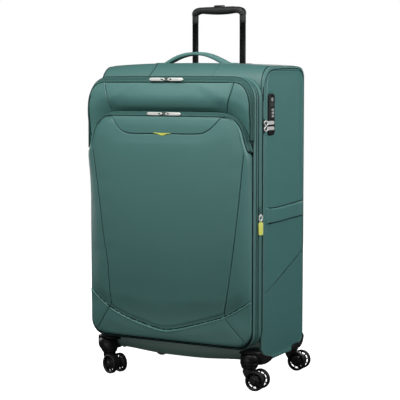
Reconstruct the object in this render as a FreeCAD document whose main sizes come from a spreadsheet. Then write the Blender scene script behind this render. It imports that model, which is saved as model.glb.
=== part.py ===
import FreeCAD, Part
import os
import re
import math
import Sketcher

# Softside upright suitcase on four double-wheel casters.
# Millimetres.  +Z up, the front (lid) faces -Y, the side with the lock faces +X.
# All pieces are drawn about the middle of the case, then moved together by
# (frame_x, frame_y) so that the origin lies under the middle of the whole object.

V = FreeCAD.Vector
Rot = FreeCAD.Rotation
doc = FreeCAD.newDocument("suitcase")

# ----------------------------------------------------------------- sizes
SIZES = [
    # name, value, what it is
    ("frame_x", -6.75, "shift of the case middle from the origin"),
    ("frame_y", -7.05, "shift of the case middle from the origin"),
    ("case_w", 450.0, "body width"),
    ("tub_y0", -84.0, "front face of the tub"),
    ("tub_y1", 158.0, "back face of the tub"),
    ("tub_z0", 62.0, "underside of the tub"),
    ("tub_z1", 779.0, "top of the crown"),
    ("crown_rad", 2115.0, "radius of the crowned top"),
    ("skin", 4.5, "fabric, foam and stiffener of the tub"),
    ("r_front_top", 46.0, "tub profile radius"),
    ("r_back_top", 28.0, "tub profile radius"),
    ("r_front_low", 20.0, "tub profile radius"),
    ("r_back_low", 30.0, "tub profile radius"),
    ("r_rim", 4.0, "piping radius round the side panels"),
    ("open_w", 424.0, "opening under the lid"),
    ("open_z0", 113.0, "opening, lower edge"),
    ("open_z1", 728.0, "opening, upper edge"),
    ("lid_z0", 100.0, "lid, lower edge"),
    ("lid_z1", 744.0, "lid, upper edge"),
    ("lid_rtop", 58.0, "lid corner radius, top"),
    ("lid_rlow", 42.0, "lid corner radius, bottom"),
    ("lid_skin", 4.0, "lid wall"),
    ("zip_y", -86.0, "front face of the main zip tape"),
    ("ring_y0", -103.8, "lid ring, front edge"),
    ("ring_y1", -86.3, "lid ring, back edge"),
    ("shell_y0", -130.0, "front face of the front shell"),
    ("shell_y1", -104.2, "front shell, back edge"),
    ("tube_x", 68.25, "trolley tube spacing, half"),
    ("tube_y", 126.0, "trolley tube centre"),
    ("out_w", 22.0, "outer tube section, along X"),
    ("out_d", 17.0, "outer tube section, along Y"),
    ("mid_w", 18.5, "middle tube section, along X"),
    ("mid_d", 13.5, "middle tube section, along Y"),
    ("inn_w", 15.0, "inner tube section, along X"),
    ("inn_d", 10.0, "inner tube section, along Y"),
    ("play", 0.25, "gap between sliding tubes, each side"),
    ("wheel_rad", 24.0, "caster wheel radius"),
    ("wheel_t", 12.0, "caster wheel width"),
    ("wheel_c", 15.75, "wheel centre from the swivel plane"),
    ("trail", 22.0, "caster trail"),
    ("caster_x", 197.5, "swivel axis from the middle"),
    ("caster_yf", -94.0, "front swivel axis"),
    ("caster_yb", 150.0, "back swivel axis"),
    ("caster_turn", -20.0, "front left caster, turned at rest, degrees"),
    ("axle_rad", 3.0, "axle radius"),
    ("stem_rad", 4.0, "swivel stem radius"),
    ("run_fit", 0.06, "radial clearance of turning pins"),
    ("screw_rad", 2.0, "housing screw shank"),
    ("handle_y", 5.0, "carry handle centre"),
    ("handle_w", 26.0, "carry handle width along Y"),
    ("lock_y0", -58.0, "lock, front edge"),
    ("lock_w", 32.0, "lock width"),
    ("lock_z0", 606.0, "lock, lower edge"),
    ("lock_len", 99.0, "lock length"),
    ("lock_face", 230.0, "lock face"),
    ("dial_rad", 9.0, "lock dial radius"),
    ("dial_t", 6.0, "lock dial width"),
    ("strap_z", 413.5, "side handle centre height"),
    ("strap_w", 34.0, "side handle width"),
]
sheet = doc.addObject("Spreadsheet::Sheet", "Sizes")
NAMES = [n for n, _, _ in SIZES]
for row, (name, value, note) in enumerate(SIZES, 1):
    sheet.set("A%d" % row, name)
    sheet.set("B%d" % row, repr(value))
    sheet.set("C%d" % row, note)
    sheet.setAlias("B%d" % row, name)
doc.recompute()
N = {n: float(sheet.get(n)) for n in NAMES}
_WORD = re.compile(r"\b(" + "|".join(sorted(NAMES, key=len, reverse=True)) + r")\b")


def ex(text):
    """A sheet expression from plain names."""
    return _WORD.sub(lambda mt: "Sizes." + mt.group(1), str(text))


def bind(obj, prop, text):
    obj.setExpression(prop, ex(text))


COUNT = [0]


def fresh(stem):
    COUNT[0] += 1
    return "%s_%03d" % (stem, COUNT[0])


def place(obj, x=0, y=0, z=0):
    bind(obj, "Placement.Base.x", x)
    bind(obj, "Placement.Base.y", y)
    bind(obj, "Placement.Base.z", z)
    return obj


def box(x, y, z, dx, dy, dz):
    b = doc.addObject("Part::Box", fresh("box"))
    bind(b, "Length", dx)
    bind(b, "Width", dy)
    bind(b, "Height", dz)
    return place(b, x, y, z)


def cyl(x, y, z, rad, length, axis="Z"):
    c = doc.addObject("Part::Cylinder", fresh("cyl"))
    bind(c, "Radius", rad)
    bind(c, "Height", length)
    if axis == "X":
        c.Placement = FreeCAD.Placement(V(0, 0, 0), Rot(V(0, 1, 0), 90))
    elif axis == "Y":
        c.Placement = FreeCAD.Placement(V(0, 0, 0), Rot(V(1, 0, 0), -90))
    return place(c, x, y, z)


def cone(x, y, z, r1, r2, length):
    c = doc.addObject("Part::Cone", fresh("cone"))
    bind(c, "Radius1", r1)
    bind(c, "Radius2", r2)
    bind(c, "Height", length)
    return place(c, x, y, z)


def fuse(*parts):
    f = doc.addObject("Part::MultiFuse", fresh("fuse"))
    f.Shapes = list(parts)
    f.Refine = True
    return f


def cut(base, *tools):
    for tool in tools:
        c = doc.addObject("Part::Cut", fresh("cut"))
        c.Base = base
        c.Tool = tool
        c.Refine = True
        base = c
    return base


def common(a, b):
    c = doc.addObject("Part::Common", fresh("common"))
    c.Base = a
    c.Tool = b
    c.Refine = True
    return c


def group(*parts):
    c = doc.addObject("Part::Compound", fresh("group"))
    c.Links = list(parts)
    return c


def ends(e):
    return e.valueAt(e.FirstParameter), e.valueAt(e.LastParameter)


def mid(e):
    return e.valueAt(0.5 * (e.FirstParameter + e.LastParameter))


def along(e, axis):
    a, b = ends(e)
    d = b - a
    if d.Length < 1e-6:
        return False
    return abs(abs(getattr(d, axis)) - d.Length) < 1e-3 * d.Length


def fillet(base, *picks):
    """Round the edges that a test picks: picks are (test, radius)."""
    doc.recompute()
    f = doc.addObject("Part::Fillet", fresh("fillet"))
    f.Base = base
    edges = []
    for i, e in enumerate(base.Shape.Edges, 1):
        for test, rad in picks:
            if test(e):
                edges.append((i, rad, rad))
                break
    if not edges:
        raise RuntimeError("no edge picked for " + base.Name)
    f.Edges = edges
    doc.recompute()
    return f


NODES = []


def node(label, obj, x="frame_x", y="frame_y", z="0", turn=None):
    """Name a finished sub-part and put it in the object's frame."""
    obj.Label = label
    if turn is not None:
        obj.Placement = FreeCAD.Placement(V(0, 0, 0), Rot(V(0, 0, 1), 0))
        bind(obj, "Placement.Rotation.Angle", turn)
    place(obj, x, y, z)
    NODES.append(obj)
    return obj


# ------------------------------------------------------------ PartDesign help
def new_body():
    return doc.addObject("PartDesign::Body", fresh("body"))


def plane(body, role):
    for f in body.Origin.OriginFeatures:
        if f.Role == role:
            return f
    raise RuntimeError(role)


def sketch(body, role, offset=0.0):
    s = body.newObject("Sketcher::SketchObject", fresh("sketch"))
    s.AttachmentSupport = [(plane(body, role), "")]
    s.MapMode = "FlatFace"
    s.AttachmentOffset = FreeCAD.Placement(V(0, 0, 0), Rot())
    if offset:
        bind(s, "AttachmentOffset.Base.z", offset)
    return s


def poly(s, pts):
    """Closed outline through points, each corner pinned by its two distances."""
    k = len(pts)
    for i in range(k):
        a, b = pts[i], pts[(i + 1) % k]
        s.addGeometry(Part.LineSegment(V(a[0], a[1], 0), V(b[0], b[1], 0)), False)
    for i in range(k):
        s.addConstraint(Sketcher.Constraint("Coincident", i, 2, (i + 1) % k, 1))
    for i, p in enumerate(pts):
        s.addConstraint(Sketcher.Constraint("DistanceX", -1, 1, i, 1, p[0]))
        s.addConstraint(Sketcher.Constraint("DistanceY", -1, 1, i, 1, p[1]))


def circle(s, x, y, rad, expr=None):
    g = s.addGeometry(Part.Circle(V(x, y, 0), V(0, 0, 1), rad), False)
    s.addConstraint(Sketcher.Constraint("DistanceX", -1, 1, g, 3, x))
    s.addConstraint(Sketcher.Constraint("DistanceY", -1, 1, g, 3, y))
    c = s.addConstraint(Sketcher.Constraint("Radius", g, rad))
    if expr:
        bind(s, "Constraints[%d]" % c, expr)


def pad(body, s, length, midplane=False, reverse=False):
    p = body.newObject("PartDesign::Pad", fresh("pad"))
    p.Profile = s
    bind(p, "Length", length)
    p.Midplane = midplane
    p.Reversed = reverse
    return p


def pocket(body, s, through=True, length=None, midplane=False, reverse=False):
    p = body.newObject("PartDesign::Pocket", fresh("pocket"))
    p.Profile = s
    if through:
        p.Type = 1
    else:
        bind(p, "Length", length)
    p.Midplane = midplane
    p.Reversed = reverse
    return p


# ================================================================== the tub
def crowned(x, y0, y1, z0, z1, rad):
    """A box whose top is a shallow arc across the width."""
    b = box("-(%s)" % x, y0, z0, "2*(%s)" % x, "(%s)-(%s)" % (y1, y0), "(%s)-(%s)" % (z1, z0))
    c = cyl("0", "(%s)-20" % y0, "(%s)-(%s)" % (z1, rad), rad, "(%s)-(%s)+40" % (y1, y0), "Y")
    return common(b, c)


def tub_form(inset):
    y0, y1 = N["tub_y0"] + inset, N["tub_y1"] - inset
    z0 = N["tub_z0"] + inset
    base = crowned(
        "case_w/2-%g" % inset, "tub_y0+%g" % inset, "tub_y1-%g" % inset,
        "tub_z0+%g" % inset, "tub_z1-%g" % inset, "crown_rad-%g" % inset)
    top = N["tub_z1"] - 25.0

    def edge_at(y, high):
        def test(e):
            a, b = ends(e)
            if abs(a.y - y) > 1e-3 or abs(b.y - y) > 1e-3 or abs(a.x - b.x) < 100:
                return False
            return a.z > top if high else abs(a.z - z0) < 1e-3
        return test

    return fillet(
        base,
        (edge_at(y0, True), N["r_front_top"] - inset),
        (edge_at(y1, True), N["r_back_top"] - inset),
        (edge_at(y0, False), N["r_front_low"] - inset),
        (edge_at(y1, False), N["r_back_low"] - inset))


tub_sharp = tub_form(0.0)
half = N["case_w"] / 2
tub_outer = fillet(
    tub_sharp,
    (lambda e: abs(ends(e)[0].x - half) < 1e-3 and abs(ends(e)[1].x - half) < 1e-3
     and abs(mid(e).x - half) < 1e-3, N["r_rim"]),
    (lambda e: abs(ends(e)[0].x + half) < 1e-3 and abs(ends(e)[1].x + half) < 1e-3
     and abs(mid(e).x + half) < 1e-3, N["r_rim"]))
tub_inner = tub_form(N["skin"])


def round_plate(x0, x1, y0, y1, z0, z1, rtop, rlow):
    """A plate standing in the X-Z plane with rounded corners.  Edges run along Y."""
    b = box(x0, y0, z0, "(%s)-(%s)" % (x1, x0), "(%s)-(%s)" % (y1, y0), "(%s)-(%s)" % (z1, z0))
    doc.recompute()
    bb = b.Shape.BoundBox
    zm = 0.5 * (bb.ZMin + bb.ZMax)
    picks = []
    if rtop > 0:
        picks.append((lambda e: along(e, "y") and mid(e).z > zm, rtop))
    if rlow > 0:
        picks.append((lambda e: along(e, "y") and mid(e).z < zm, rlow))
    return fillet(b, *picks)


opening = round_plate("-open_w/2", "open_w/2", "tub_y0-10", "tub_y0+skin+4",
                      "open_z0", "open_z1", 46, 33)

SX = N["tube_x"]


def two_tubes(w, d, z0, z1, rad):
    def one(sign):
        b = box("%s*tube_x-(%s)/2" % (sign, w), "tube_y-(%s)/2" % d, z0, w, d, "(%s)-(%s)" % (z1, z0))
        return fillet(b, (lambda e: along(e, "z"), rad)) if rad else b
    return fuse(one("-1"), one("1"))


# screws that hold the caster housings: two at each corner
SCREWS = [(sx * px, py) for sx in (-1, 1) for px, py in ((181.0, -48.0), (212.0, -48.0), (181.0, 104.0), (212.0, 104.0))]


def screw_cylinders(z0, length, rad):
    return fuse(*[cyl(px, py, z0, rad, length) for px, py in SCREWS])


lock_well = box("case_w/2-14", "lock_y0+4-0.2", "lock_z0+6-0.2", "20", "lock_w-5.5+0.4", "lock_len-12+0.4")
tub = cut(tub_outer, tub_inner, opening, lock_well,
          box("-84", "tube_y-14.5", "745", "168", "29", "60"),
          screw_cylinders("tub_z0-8", "20", "screw_rad+0.1"))
node("tub_shell", tub)

# spring-steel hoop that keeps the front of the tub in shape
hoop_out = round_plate("-219", "219", "-79.3", "-73.3", "84", "729.5", 44, 36)
hoop_in = round_plate("-216.5", "216.5", "-90", "-60", "86.5", "727", 41.5, 33.5)
node("frame_hoop", cut(hoop_out, hoop_in))

# stiff board between the luggage space and the trolley
board = round_plate("-214", "214", "108", "110.5", "76", "749", 30, 20)
node("back_board", board)

# moulded base tray with two sockets for the outer trolley tubes
tray = box("-214", "-62", "tub_z0+skin", "428", "190", "3.5")
sockets = fuse(*[box("%s*tube_x-14" % s, "tube_y-11.5", "tub_z0+skin+3.5", "28", "22", "17") for s in ("-1", "1")])
tray = cut(fuse(tray, sockets), two_tubes("out_w", "out_d", "tub_z0+skin+3.5", "120", 0),
           screw_cylinders("tub_z0-8", "20", "screw_rad+0.1"))
node("base_tray", tray)

# main zip: tape and coil round the tub's mouth
zip_out = round_plate("-case_w/2", "case_w/2", "zip_y", "tub_y0", "lid_z0", "lid_z1", N["lid_rtop"], N["lid_rlow"])
zip_in = round_plate("-case_w/2+7", "case_w/2-7", "zip_y-5", "tub_y0+5", "lid_z0+7", "lid_z1-7",
                     N["lid_rtop"] - 7, N["lid_rlow"] - 7)
node("main_zip_chain", cut(cut(zip_out, zip_in), tub_outer))

# ================================================================== trolley
outer = cut(two_tubes("out_w", "out_d", "tub_z0+skin+3.5", "750.8", 4.0),
            two_tubes("mid_w+2*play", "mid_d+2*play", "60", "800", 2.8))
node("trolley_outer_tubes", outer)

# moulded well that the grip sinks into, with a flange on the crown
bezel = cut(box("-93", "107", "760", "186", "38", "22"), tub_sharp)
bezel = fuse(bezel, box("-84", "tube_y-14.5", "751", "168", "29", "30"))
bezel = cut(bezel, fillet(box("-81", "tube_y-12.5", "753", "162", "25", "40"), (lambda e: along(e, "z"), 4.0)),
            two_tubes("mid_w+2*play", "mid_d+2*play", "740", "800", 2.8))
node("trolley_bezel", bezel)

middle = cut(two_tubes("mid_w", "mid_d", "300", "752.8", 2.55),
             two_tubes("inn_w+2*play", "inn_d+2*play", "290", "800", 2.2))
node("trolley_middle_tubes", middle)

inner = cut(two_tubes("inn_w", "inn_d", "640", "921", 3.0),
            two_tubes("inn_w-3.6", "inn_d-3.6", "630", "940", 1.5))
node("trolley_inner_tubes", inner)

grip_bar = fillet(box("-78.5", "tube_y-11.5", "908.5", "157", "23", "20.5"),
                  (lambda e: along(e, "y") and mid(e).z > 920, 13.0),
                  (lambda e: along(e, "y") and mid(e).z < 920, 6.0))
grip_bar = fillet(grip_bar, (lambda e: abs(mid(e).y - (N["tube_y"] - 11.5)) < 1e-3 or abs(mid(e).y - (N["tube_y"] + 11.5)) < 1e-3, 4.0))
grip_palm = fillet(box("-53", "tube_y-9.5", "903.5", "106", "19", "14"),
                   (lambda e: abs(mid(e).z - 903.5) < 1e-3, 4.0))
grip = cut(fuse(grip_bar, grip_palm), two_tubes("inn_w", "inn_d", "890", "921", 3.0),
           box("-15.3", "tube_y-4.8", "917", "30.6", "9.6", "30"))
node("trolley_grip", grip)

button = fillet(box("-15", "tube_y-4.5", "921", "30", "9", "10.5"),
                (lambda e: abs(mid(e).z - 931.5) < 1e-3, 1.4))
node("trolley_release_button", button)


# ================================================================== casters
def revolve(pts, steps=360):
    """Turned piece about Z from an outline of (radius, height)."""
    body = new_body()
    s = sketch(body, "XZ_Plane")
    poly(s, pts)
    r = body.newObject("PartDesign::Revolution", fresh("rev"))
    r.Profile = s
    r.ReferenceAxis = (s, ["V_Axis"])
    r.Angle = float(steps)
    doc.recompute()
    return body


DOME_F = [(0, 50), (16.5, 50), (17.2, 53), (20.5, 58), (25.5, 67), (27.5, 76), (27.5, 84), (0, 84)]
DOME_B = [(0, 50), (16.5, 50), (17.2, 53), (20.0, 57), (23.0, 63), (24.0, 70), (23.0, 76), (0, 76)]


def housing(front, mirror):
    """Caster housing for the right side, mirrored for the left."""
    dome = revolve(DOME_F if front else DOME_B)
    place(dome, "caster_x", "caster_yf" if front else "caster_yb", 0)
    if front:
        shell = fillet(box("166", "-102", "57", "64", "70", "31"),
                       (lambda e: along(e, "z") and mid(e).x > 200 and mid(e).y < -50, 16.0),
                       (lambda e: along(e, "y") and mid(e).x > 200 and mid(e).z < 60, 3.0))
        slope = box("150", "0", "0", "100", "90", "40")
        slope.Placement = FreeCAD.Placement(V(0, 0, 0), Rot(V(1, 0, 0), -24))
        place(slope, "150", "-86", "84")
        slope2 = box("0", "0", "0", "60", "60", "40")
        slope2.Placement = FreeCAD.Placement(V(0, 0, 0), Rot(V(0, 1, 0), -20))
        place(slope2, "141", "-110", "77")
        body = cut(fuse(dome, shell), tub_sharp, slope, slope2)
    else:
        shell = fillet(box("166", "92", "57", "64", "71", "33"),
                       (lambda e: along(e, "x") and mid(e).y > 150 and mid(e).z < 60, 30.0))
        inner_cut = box("150", "80", "0", "100", "60", "60")
        inner_cut.Placement = FreeCAD.Placement(V(0, 0, 0), Rot(V(1, 0, 0), 30))
        place(inner_cut, "150", "86", "72")
        body = cut(fuse(dome, shell), tub_sharp, inner_cut)
    y = "caster_yf" if front else "caster_yb"
    bore = cyl("caster_x", y, "40", "stem_rad+run_fit", "26.4")
    holes = fuse(*[cyl(px, py, "50", "screw_rad+0.1", "20") for px, py in SCREWS
                   if px > 0 and (py < 0) == front])
    body = cut(body, bore, holes)
    if mirror:
        m = doc.addObject("Part::Mirroring", fresh("mirror"))
        m.Source = body
        m.Base = V(0, 0, 0)
        m.Normal = V(1, 0, 0)
        return m
    return body


for tag, front, mirror in (("front_right", True, False), ("front_left", True, True),
                           ("back_right", False, False), ("back_left", False, True)):
    node("caster_housing_" + tag, housing(front, mirror))

heads = fuse(*[cyl(px, py, "54.6", "3.8", "2.4") for px, py in SCREWS])
shanks = screw_cylinders("56", "16", "screw_rad")
node("housing_screws", fuse(heads, shanks))


def swivel_fork():
    """Yoke between the two wheels, with the stem it turns on.  Swivel axis = Z."""
    body = new_body()
    s = sketch(body, "XZ_Plane")
    poly(s, [(-13, 46.5), (-14, 42), (-11, 34), (-3, 24), (6, 15.5), (14, 11.5), (22, 10.5), (30, 12.5),
             (35, 19), (35.5, 26), (33, 33), (26, 39), (19, 43), (14.5, 46.5)])
    pad(body, s, "18", midplane=True)
    s = sketch(body, "XY_Plane", "46.5")
    circle(s, 0, 0, 15.5)
    pad(body, s, "3.2")
    s = sketch(body, "XY_Plane", "46.5")
    circle(s, 0, 0, N["stem_rad"], "stem_rad")
    pad(body, s, "19.3")
    s = sketch(body, "XZ_Plane")
    circle(s, N["trail"], N["wheel_rad"], N["axle_rad"], "axle_rad")
    pocket(body, s, midplane=True)
    doc.recompute()
    return body


def axle():
    """Riveted axle with a flat head past each wheel."""
    pin = cyl("trail", "-23.6", "wheel_rad", "axle_rad", "47.2", "Y")
    h1 = cyl("trail", "-23.7", "wheel_rad", "5.2", "1.5", "Y")
    h2 = cyl("trail", "22.2", "wheel_rad", "5.2", "1.5", "Y")
    return fuse(pin, h1, h2)


def wheel(side):
    """Spoked wheel with a soft tread, turning on the axle.  side is -1 or 1."""
    w = N["wheel_t"] / 2
    r = N["wheel_rad"]
    hole = N["axle_rad"] + N["run_fit"]
    body = new_body()
    s = sketch(body, "YZ_Plane")
    # outline in (distance along the axle, radius)
    poly(s, [(-w, hole), (w, hole), (w, 8.0), (w - 1.6, 9.2), (w - 1.6, 18.8), (w, 20.0),
             (w, r - 2.4), (w - 2.4, r), (-w + 2.4, r), (-w, r - 2.4), (-w, 20.0),
             (-w + 1.6, 18.8), (-w + 1.6, 9.2), (-w, 8.0)])
    rev = body.newObject("PartDesign::Revolution", fresh("rev"))
    rev.Profile = s
    rev.ReferenceAxis = (s, ["H_Axis"])
    rev.Angle = 360.0
    doc.recompute()
    s = sketch(body, "XZ_Plane")
    a = math.radians(14.5)
    r0, r1 = 14.6, 18.2
    s.addGeometry(Part.ArcOfCircle(Part.Circle(V(0, 0, 0), V(0, 0, 1), r1), math.pi / 2 - a, math.pi / 2 + a), False)
    s.addGeometry(Part.ArcOfCircle(Part.Circle(V(0, 0, 0), V(0, 0, 1), r0), math.pi / 2 - a, math.pi / 2 + a), False)
    p = [V(r1 * math.cos(math.pi / 2 + a), r1 * math.sin(math.pi / 2 + a), 0),
         V(r0 * math.cos(math.pi / 2 + a), r0 * math.sin(math.pi / 2 + a), 0),
         V(r0 * math.cos(math.pi / 2 - a), r0 * math.sin(math.pi / 2 - a), 0),
         V(r1 * math.cos(math.pi / 2 - a), r1 * math.sin(math.pi / 2 - a), 0)]
    s.addGeometry(Part.LineSegment(p[0], p[1]), False)
    s.addGeometry(Part.LineSegment(p[2], p[3]), False)
    s.addConstraint(Sketcher.Constraint("Coincident", 0, 2, 2, 1))
    s.addConstraint(Sketcher.Constraint("Coincident", 2, 2, 1, 2))
    s.addConstraint(Sketcher.Constraint("Coincident", 1, 1, 3, 1))
    s.addConstraint(Sketcher.Constraint("Coincident", 3, 2, 0, 1))
    slot = pocket(body, s, midplane=True)
    doc.recompute()
    pat = body.newObject("PartDesign::PolarPattern", fresh("polar"))
    pat.Originals = [slot]
    pat.Axis = (plane(body, "Y_Axis"), [""])
    pat.Angle = 360.0
    pat.Occurrences = 9
    body.Tip = pat
    doc.recompute()
    holder = group(body)
    place(body, "trail", "%d*wheel_c" % side, "wheel_rad")
    return holder


for tag, fx, fy, turn in (("front_right", "caster_x", "caster_yf", "0"),
                          ("front_left", "-caster_x", "caster_yf", "caster_turn"),
                          ("back_right", "caster_x", "caster_yb", "0"),
                          ("back_left", "-caster_x", "caster_yb", "0")):
    px, py = "frame_x+(%s)" % fx, "frame_y+(%s)" % fy
    node("caster_fork_" + tag, swivel_fork(), px, py, "0", turn)
    node("caster_axle_" + tag, axle(), px, py, "0", turn)
    node("wheel_outer_" + tag if fy == "caster_yb" else "wheel_inner_" + tag, wheel(1), px, py, "0", turn)
    node("wheel_inner_" + tag if fy == "caster_yb" else "wheel_outer_" + tag, wheel(-1), px, py, "0", turn)

# ================================================================== the lid
ring = cut(round_plate("-case_w/2", "case_w/2", "ring_y0", "ring_y1", "lid_z0", "lid_z1", N["lid_rtop"], N["lid_rlow"]),
           round_plate("-case_w/2+lid_skin", "case_w/2-lid_skin", "ring_y0-5", "ring_y1+5", "lid_z0+lid_skin",
                       "lid_z1-lid_skin", N["lid_rtop"] - N["lid_skin"], N["lid_rlow"] - N["lid_skin"]))
node("lid_ring", ring)

ezip = cut(round_plate("-case_w/2-1.2", "case_w/2+1.2", "ring_y0", "ring_y0+2.4", "lid_z0-1.2", "lid_z1+1.2",
                       N["lid_rtop"] + 1.2, N["lid_rlow"] + 1.2),
           round_plate("-case_w/2", "case_w/2", "ring_y0-5", "ring_y0+9", "lid_z0", "lid_z1",
                       N["lid_rtop"], N["lid_rlow"]))
node("expansion_zip_chain", ezip)

shell = cut(round_plate("-case_w/2", "case_w/2", "shell_y0", "shell_y1", "lid_z0", "lid_z1", N["lid_rtop"], N["lid_rlow"]),
            round_plate("-case_w/2+lid_skin", "case_w/2-lid_skin", "shell_y0+3.5", "shell_y1+5", "lid_z0+lid_skin",
                        "lid_z1-lid_skin", N["lid_rtop"] - N["lid_skin"], N["lid_rlow"] - N["lid_skin"]))
node("front_shell", shell)


def profile_prism(pts, x0, x1):
    """A prism along X from an outline of (Y, Z)."""
    body = new_body()
    s = sketch(body, "YZ_Plane", str(x0))
    poly(s, pts)
    pad(body, s, str(x1 - x0))
    doc.recompute()
    return body


YF = N["shell_y0"]
# lower pocket: a bellows-free bag standing proud of the front
low_out = common(profile_prism([(YF, 104), (YF, 670), (-137, 664), (-153, 652), (-158.5, 638), (-158.5, 210),
                                (-148, 150), (-138, 108)], -222, 222),
                 round_plate("-221", "221", "-170", "-120", "104", "672", 78, 40))
low_in = common(profile_prism([(YF - 3.5, 112), (YF - 3.5, 657), (-151, 648), (-155.2, 636), (-155.2, 211),
                               (-146, 156), (-138, 116)], -217, 217),
                round_plate("-215", "215", "-170", "-120", "112", "660", 72, 34))
low_mouth = box("-150", "-147.5", "630", "300", "6", "60")
node("lower_pocket", cut(low_out, low_in, low_mouth))

# upper pocket
up_out = common(profile_prism([(YF, 673), (YF, 744), (-136, 742.5), (-150, 733), (-155, 720), (-154, 706),
                               (-146, 690), (-136, 673)],
                              -222, 222),
                round_plate("-208", "221", "-170", "-120", "600", "744", 54, 0))
up_in = common(profile_prism([(YF - 3.5, 677), (YF - 3.5, 738), (-137, 736), (-146.5, 729), (-151.5, 718), (-150.5, 707),
                              (-143, 692), (-134.5, 677)],
                             -217, 217),
               round_plate("-203", "216", "-170", "-120", "600", "740", 50, 0))
up_mouth = box("-150", "-145", "715", "300", "6", "40")
node("upper_pocket", cut(up_out, up_in, up_mouth))

# coil strips along the pocket mouths, on the front lip
chain = fuse(box("-150", "-150.5", "656.1", "300", "3", "1.8"), box("-150", "-147", "734.4", "300", "1.8", "1.8"))
chain = cut(chain, low_out, up_out)
node("pocket_zip_chains", chain)


def puller(length, high, thick, hole_x):
    """Flat pull with pointed ends, lying along +X from its eye at the origin, facing -Y."""
    body = new_body()
    s = sketch(body, "XZ_Plane")
    poly(s, [(-1.0, -2.0), (-1.0, 2.0), (1.8, high / 2), (length - 7, high / 2), (length - 3.2, 1.2),
             (length - 3.2, -1.2), (length - 7, -high / 2), (1.8, -high / 2)])
    pad(body, s, str(thick), midplane=True)
    s = sketch(body, "XZ_Plane")
    circle(s, hole_x, 0, 1.7)
    pocket(body, s, midplane=True)
    doc.recompute()
    f = body.newObject("PartDesign::Chamfer", fresh("chamfer"))
    base = body.Tip if False else body.Group[-2]
    names = []
    for i, e in enumerate(base.Shape.Edges, 1):
        m = mid(e)
        if abs(abs(m.y) - thick / 2) < 1e-3 and not isinstance(e.Curve, Part.Circle):
            names.append("Edge%d" % i)
    f.Base = (base, names)
    f.Size = 0.5
    body.Tip = f
    doc.recompute()
    return body


def slider(w, d, high):
    """Zip slider body with a bridge for the pull: wings along X."""
    base = fillet(box(-w / 2, -d / 2, -high / 2, w, d, high), (lambda e: along(e, "y"), 1.4))
    return base


# each pocket has two sliders that meet in the middle; the pulls lie outwards
PULL_LEN = 45.0
for tag, px, sign, py, pz in (("upper_left", -0.5, -1, -153.9, 739.2), ("upper_right", 8.6, 1, -153.9, 739.2),
                              ("lower_left", -5.0, -1, -158.0, 657.2), ("lower_right", 4.4, 1, -158.0, 657.2)):
    sl = cut(slider(8.0, 5.6, 8.0), box("-1.1", "-4", "-2.2", "2.2", "2.6", "4.4"))
    place(sl, px, py + 3.8, pz)
    node("zip_slider_" + tag, group(sl))
    pl = puller(PULL_LEN, 8.2, 2.0, 4.5)
    pl.Placement = FreeCAD.Placement(V(px + sign * 0.6, py - 0.9, pz), Rot(V(0, 0, 1), 0 if sign > 0 else 180))
    node("zip_pull_" + tag, group(pl))

# expansion zip: slider and soft rectangular pull hanging on the right side
es = fillet(box("226.4", "-108.4", "421", "2.6", "8.4", "19"), (lambda e: along(e, "x"), 3.6))
node("expansion_slider", group(es))
ep = fillet(box("229.8", "-110.2", "371", "2.4", "12", "53"), (lambda e: along(e, "x"), 2.6))
node("expansion_pull", group(ep))

# main zip: two sliders meeting below the lock, with pulls that lie in it
ms = [fillet(box("225.2", "-85.9", z0, "3.1", "8", "15"), (lambda e: along(e, "x"), 2.6)) for z0 in ("631.5", "611")]
node("main_zip_sliders", fuse(*ms))
for tag, zc in (("upper", 636.2), ("lower", 623.0)):
    tab = fillet(box(229.0, -81.0, zc - 4.4, 2.6, 50.0, 8.8), (lambda e: along(e, "x"), 3.6))
    eye = cyl(228.0, -76.5, zc, 1.7, 6, "X")
    node("main_zip_pull_" + tag, group(cut(tab, eye)))

# ================================================================== lock
ly, lz = N["lock_y0"], N["lock_z0"]
lock = fillet(box("case_w/2", "lock_y0", "lock_z0", "lock_face-case_w/2", "lock_w", "lock_len"),
              (lambda e: along(e, "x"), 7.0))
lock = fillet(lock, (lambda e: abs(mid(e).x - N["lock_face"]) < 1e-3, 1.6))
lock = fuse(lock, box("case_w/2-9", "lock_y0+4", "lock_z0+6", "9", "lock_w-5.5", "lock_len-12"))
DIALS = (666.9, 659.2, 651.5)
DIAL_X, DIAL_Y = 223.2, -37.6
# recess for the two pulls, open to the front edge
lock = cut(lock, box("228.6", "-70", "617.8", "10", "42", "23.2"))
for z in DIALS:
    lock = cut(lock, cyl(DIAL_X, DIAL_Y, z - N["dial_t"] / 2 - 0.3, "dial_rad+0.35", "dial_t+0.6"))
lock = fuse(lock, cyl(DIAL_X, DIAL_Y, 646, "1.5", 26))
lock = cut(lock, box("227", "-50", "674.6", "10", "16", "8.8"))
lock = cut(lock, cyl("226", "-42", "691.5", "5.0+run_fit", "10", "X"))
node("lock_body", lock)
for i, z in enumerate(DIALS, 1):
    d = fillet(cyl(DIAL_X, DIAL_Y, z - N["dial_t"] / 2, "dial_rad", "dial_t"),
               (lambda e: isinstance(e.Curve, Part.Circle), 0.6))
    d = cut(d, cyl(DIAL_X, DIAL_Y, z - 6, "1.5+run_fit", 12))
    node("lock_dial_%d" % i, group(d))
lb = fillet(box("229.6", "-49.7", "674.9", "2.2", "15.4", "8.2"), (lambda e: abs(mid(e).x - 231.8) < 1e-3, 0.8))
node("lock_button", group(lb))
key = cut(cyl("226.3", "-42", "691.5", "5.0", "4.5", "X"), box("229.6", "-42.6", "688.6", "3", "1.2", "5.8"))
node("lock_key_cylinder", key)

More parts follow.
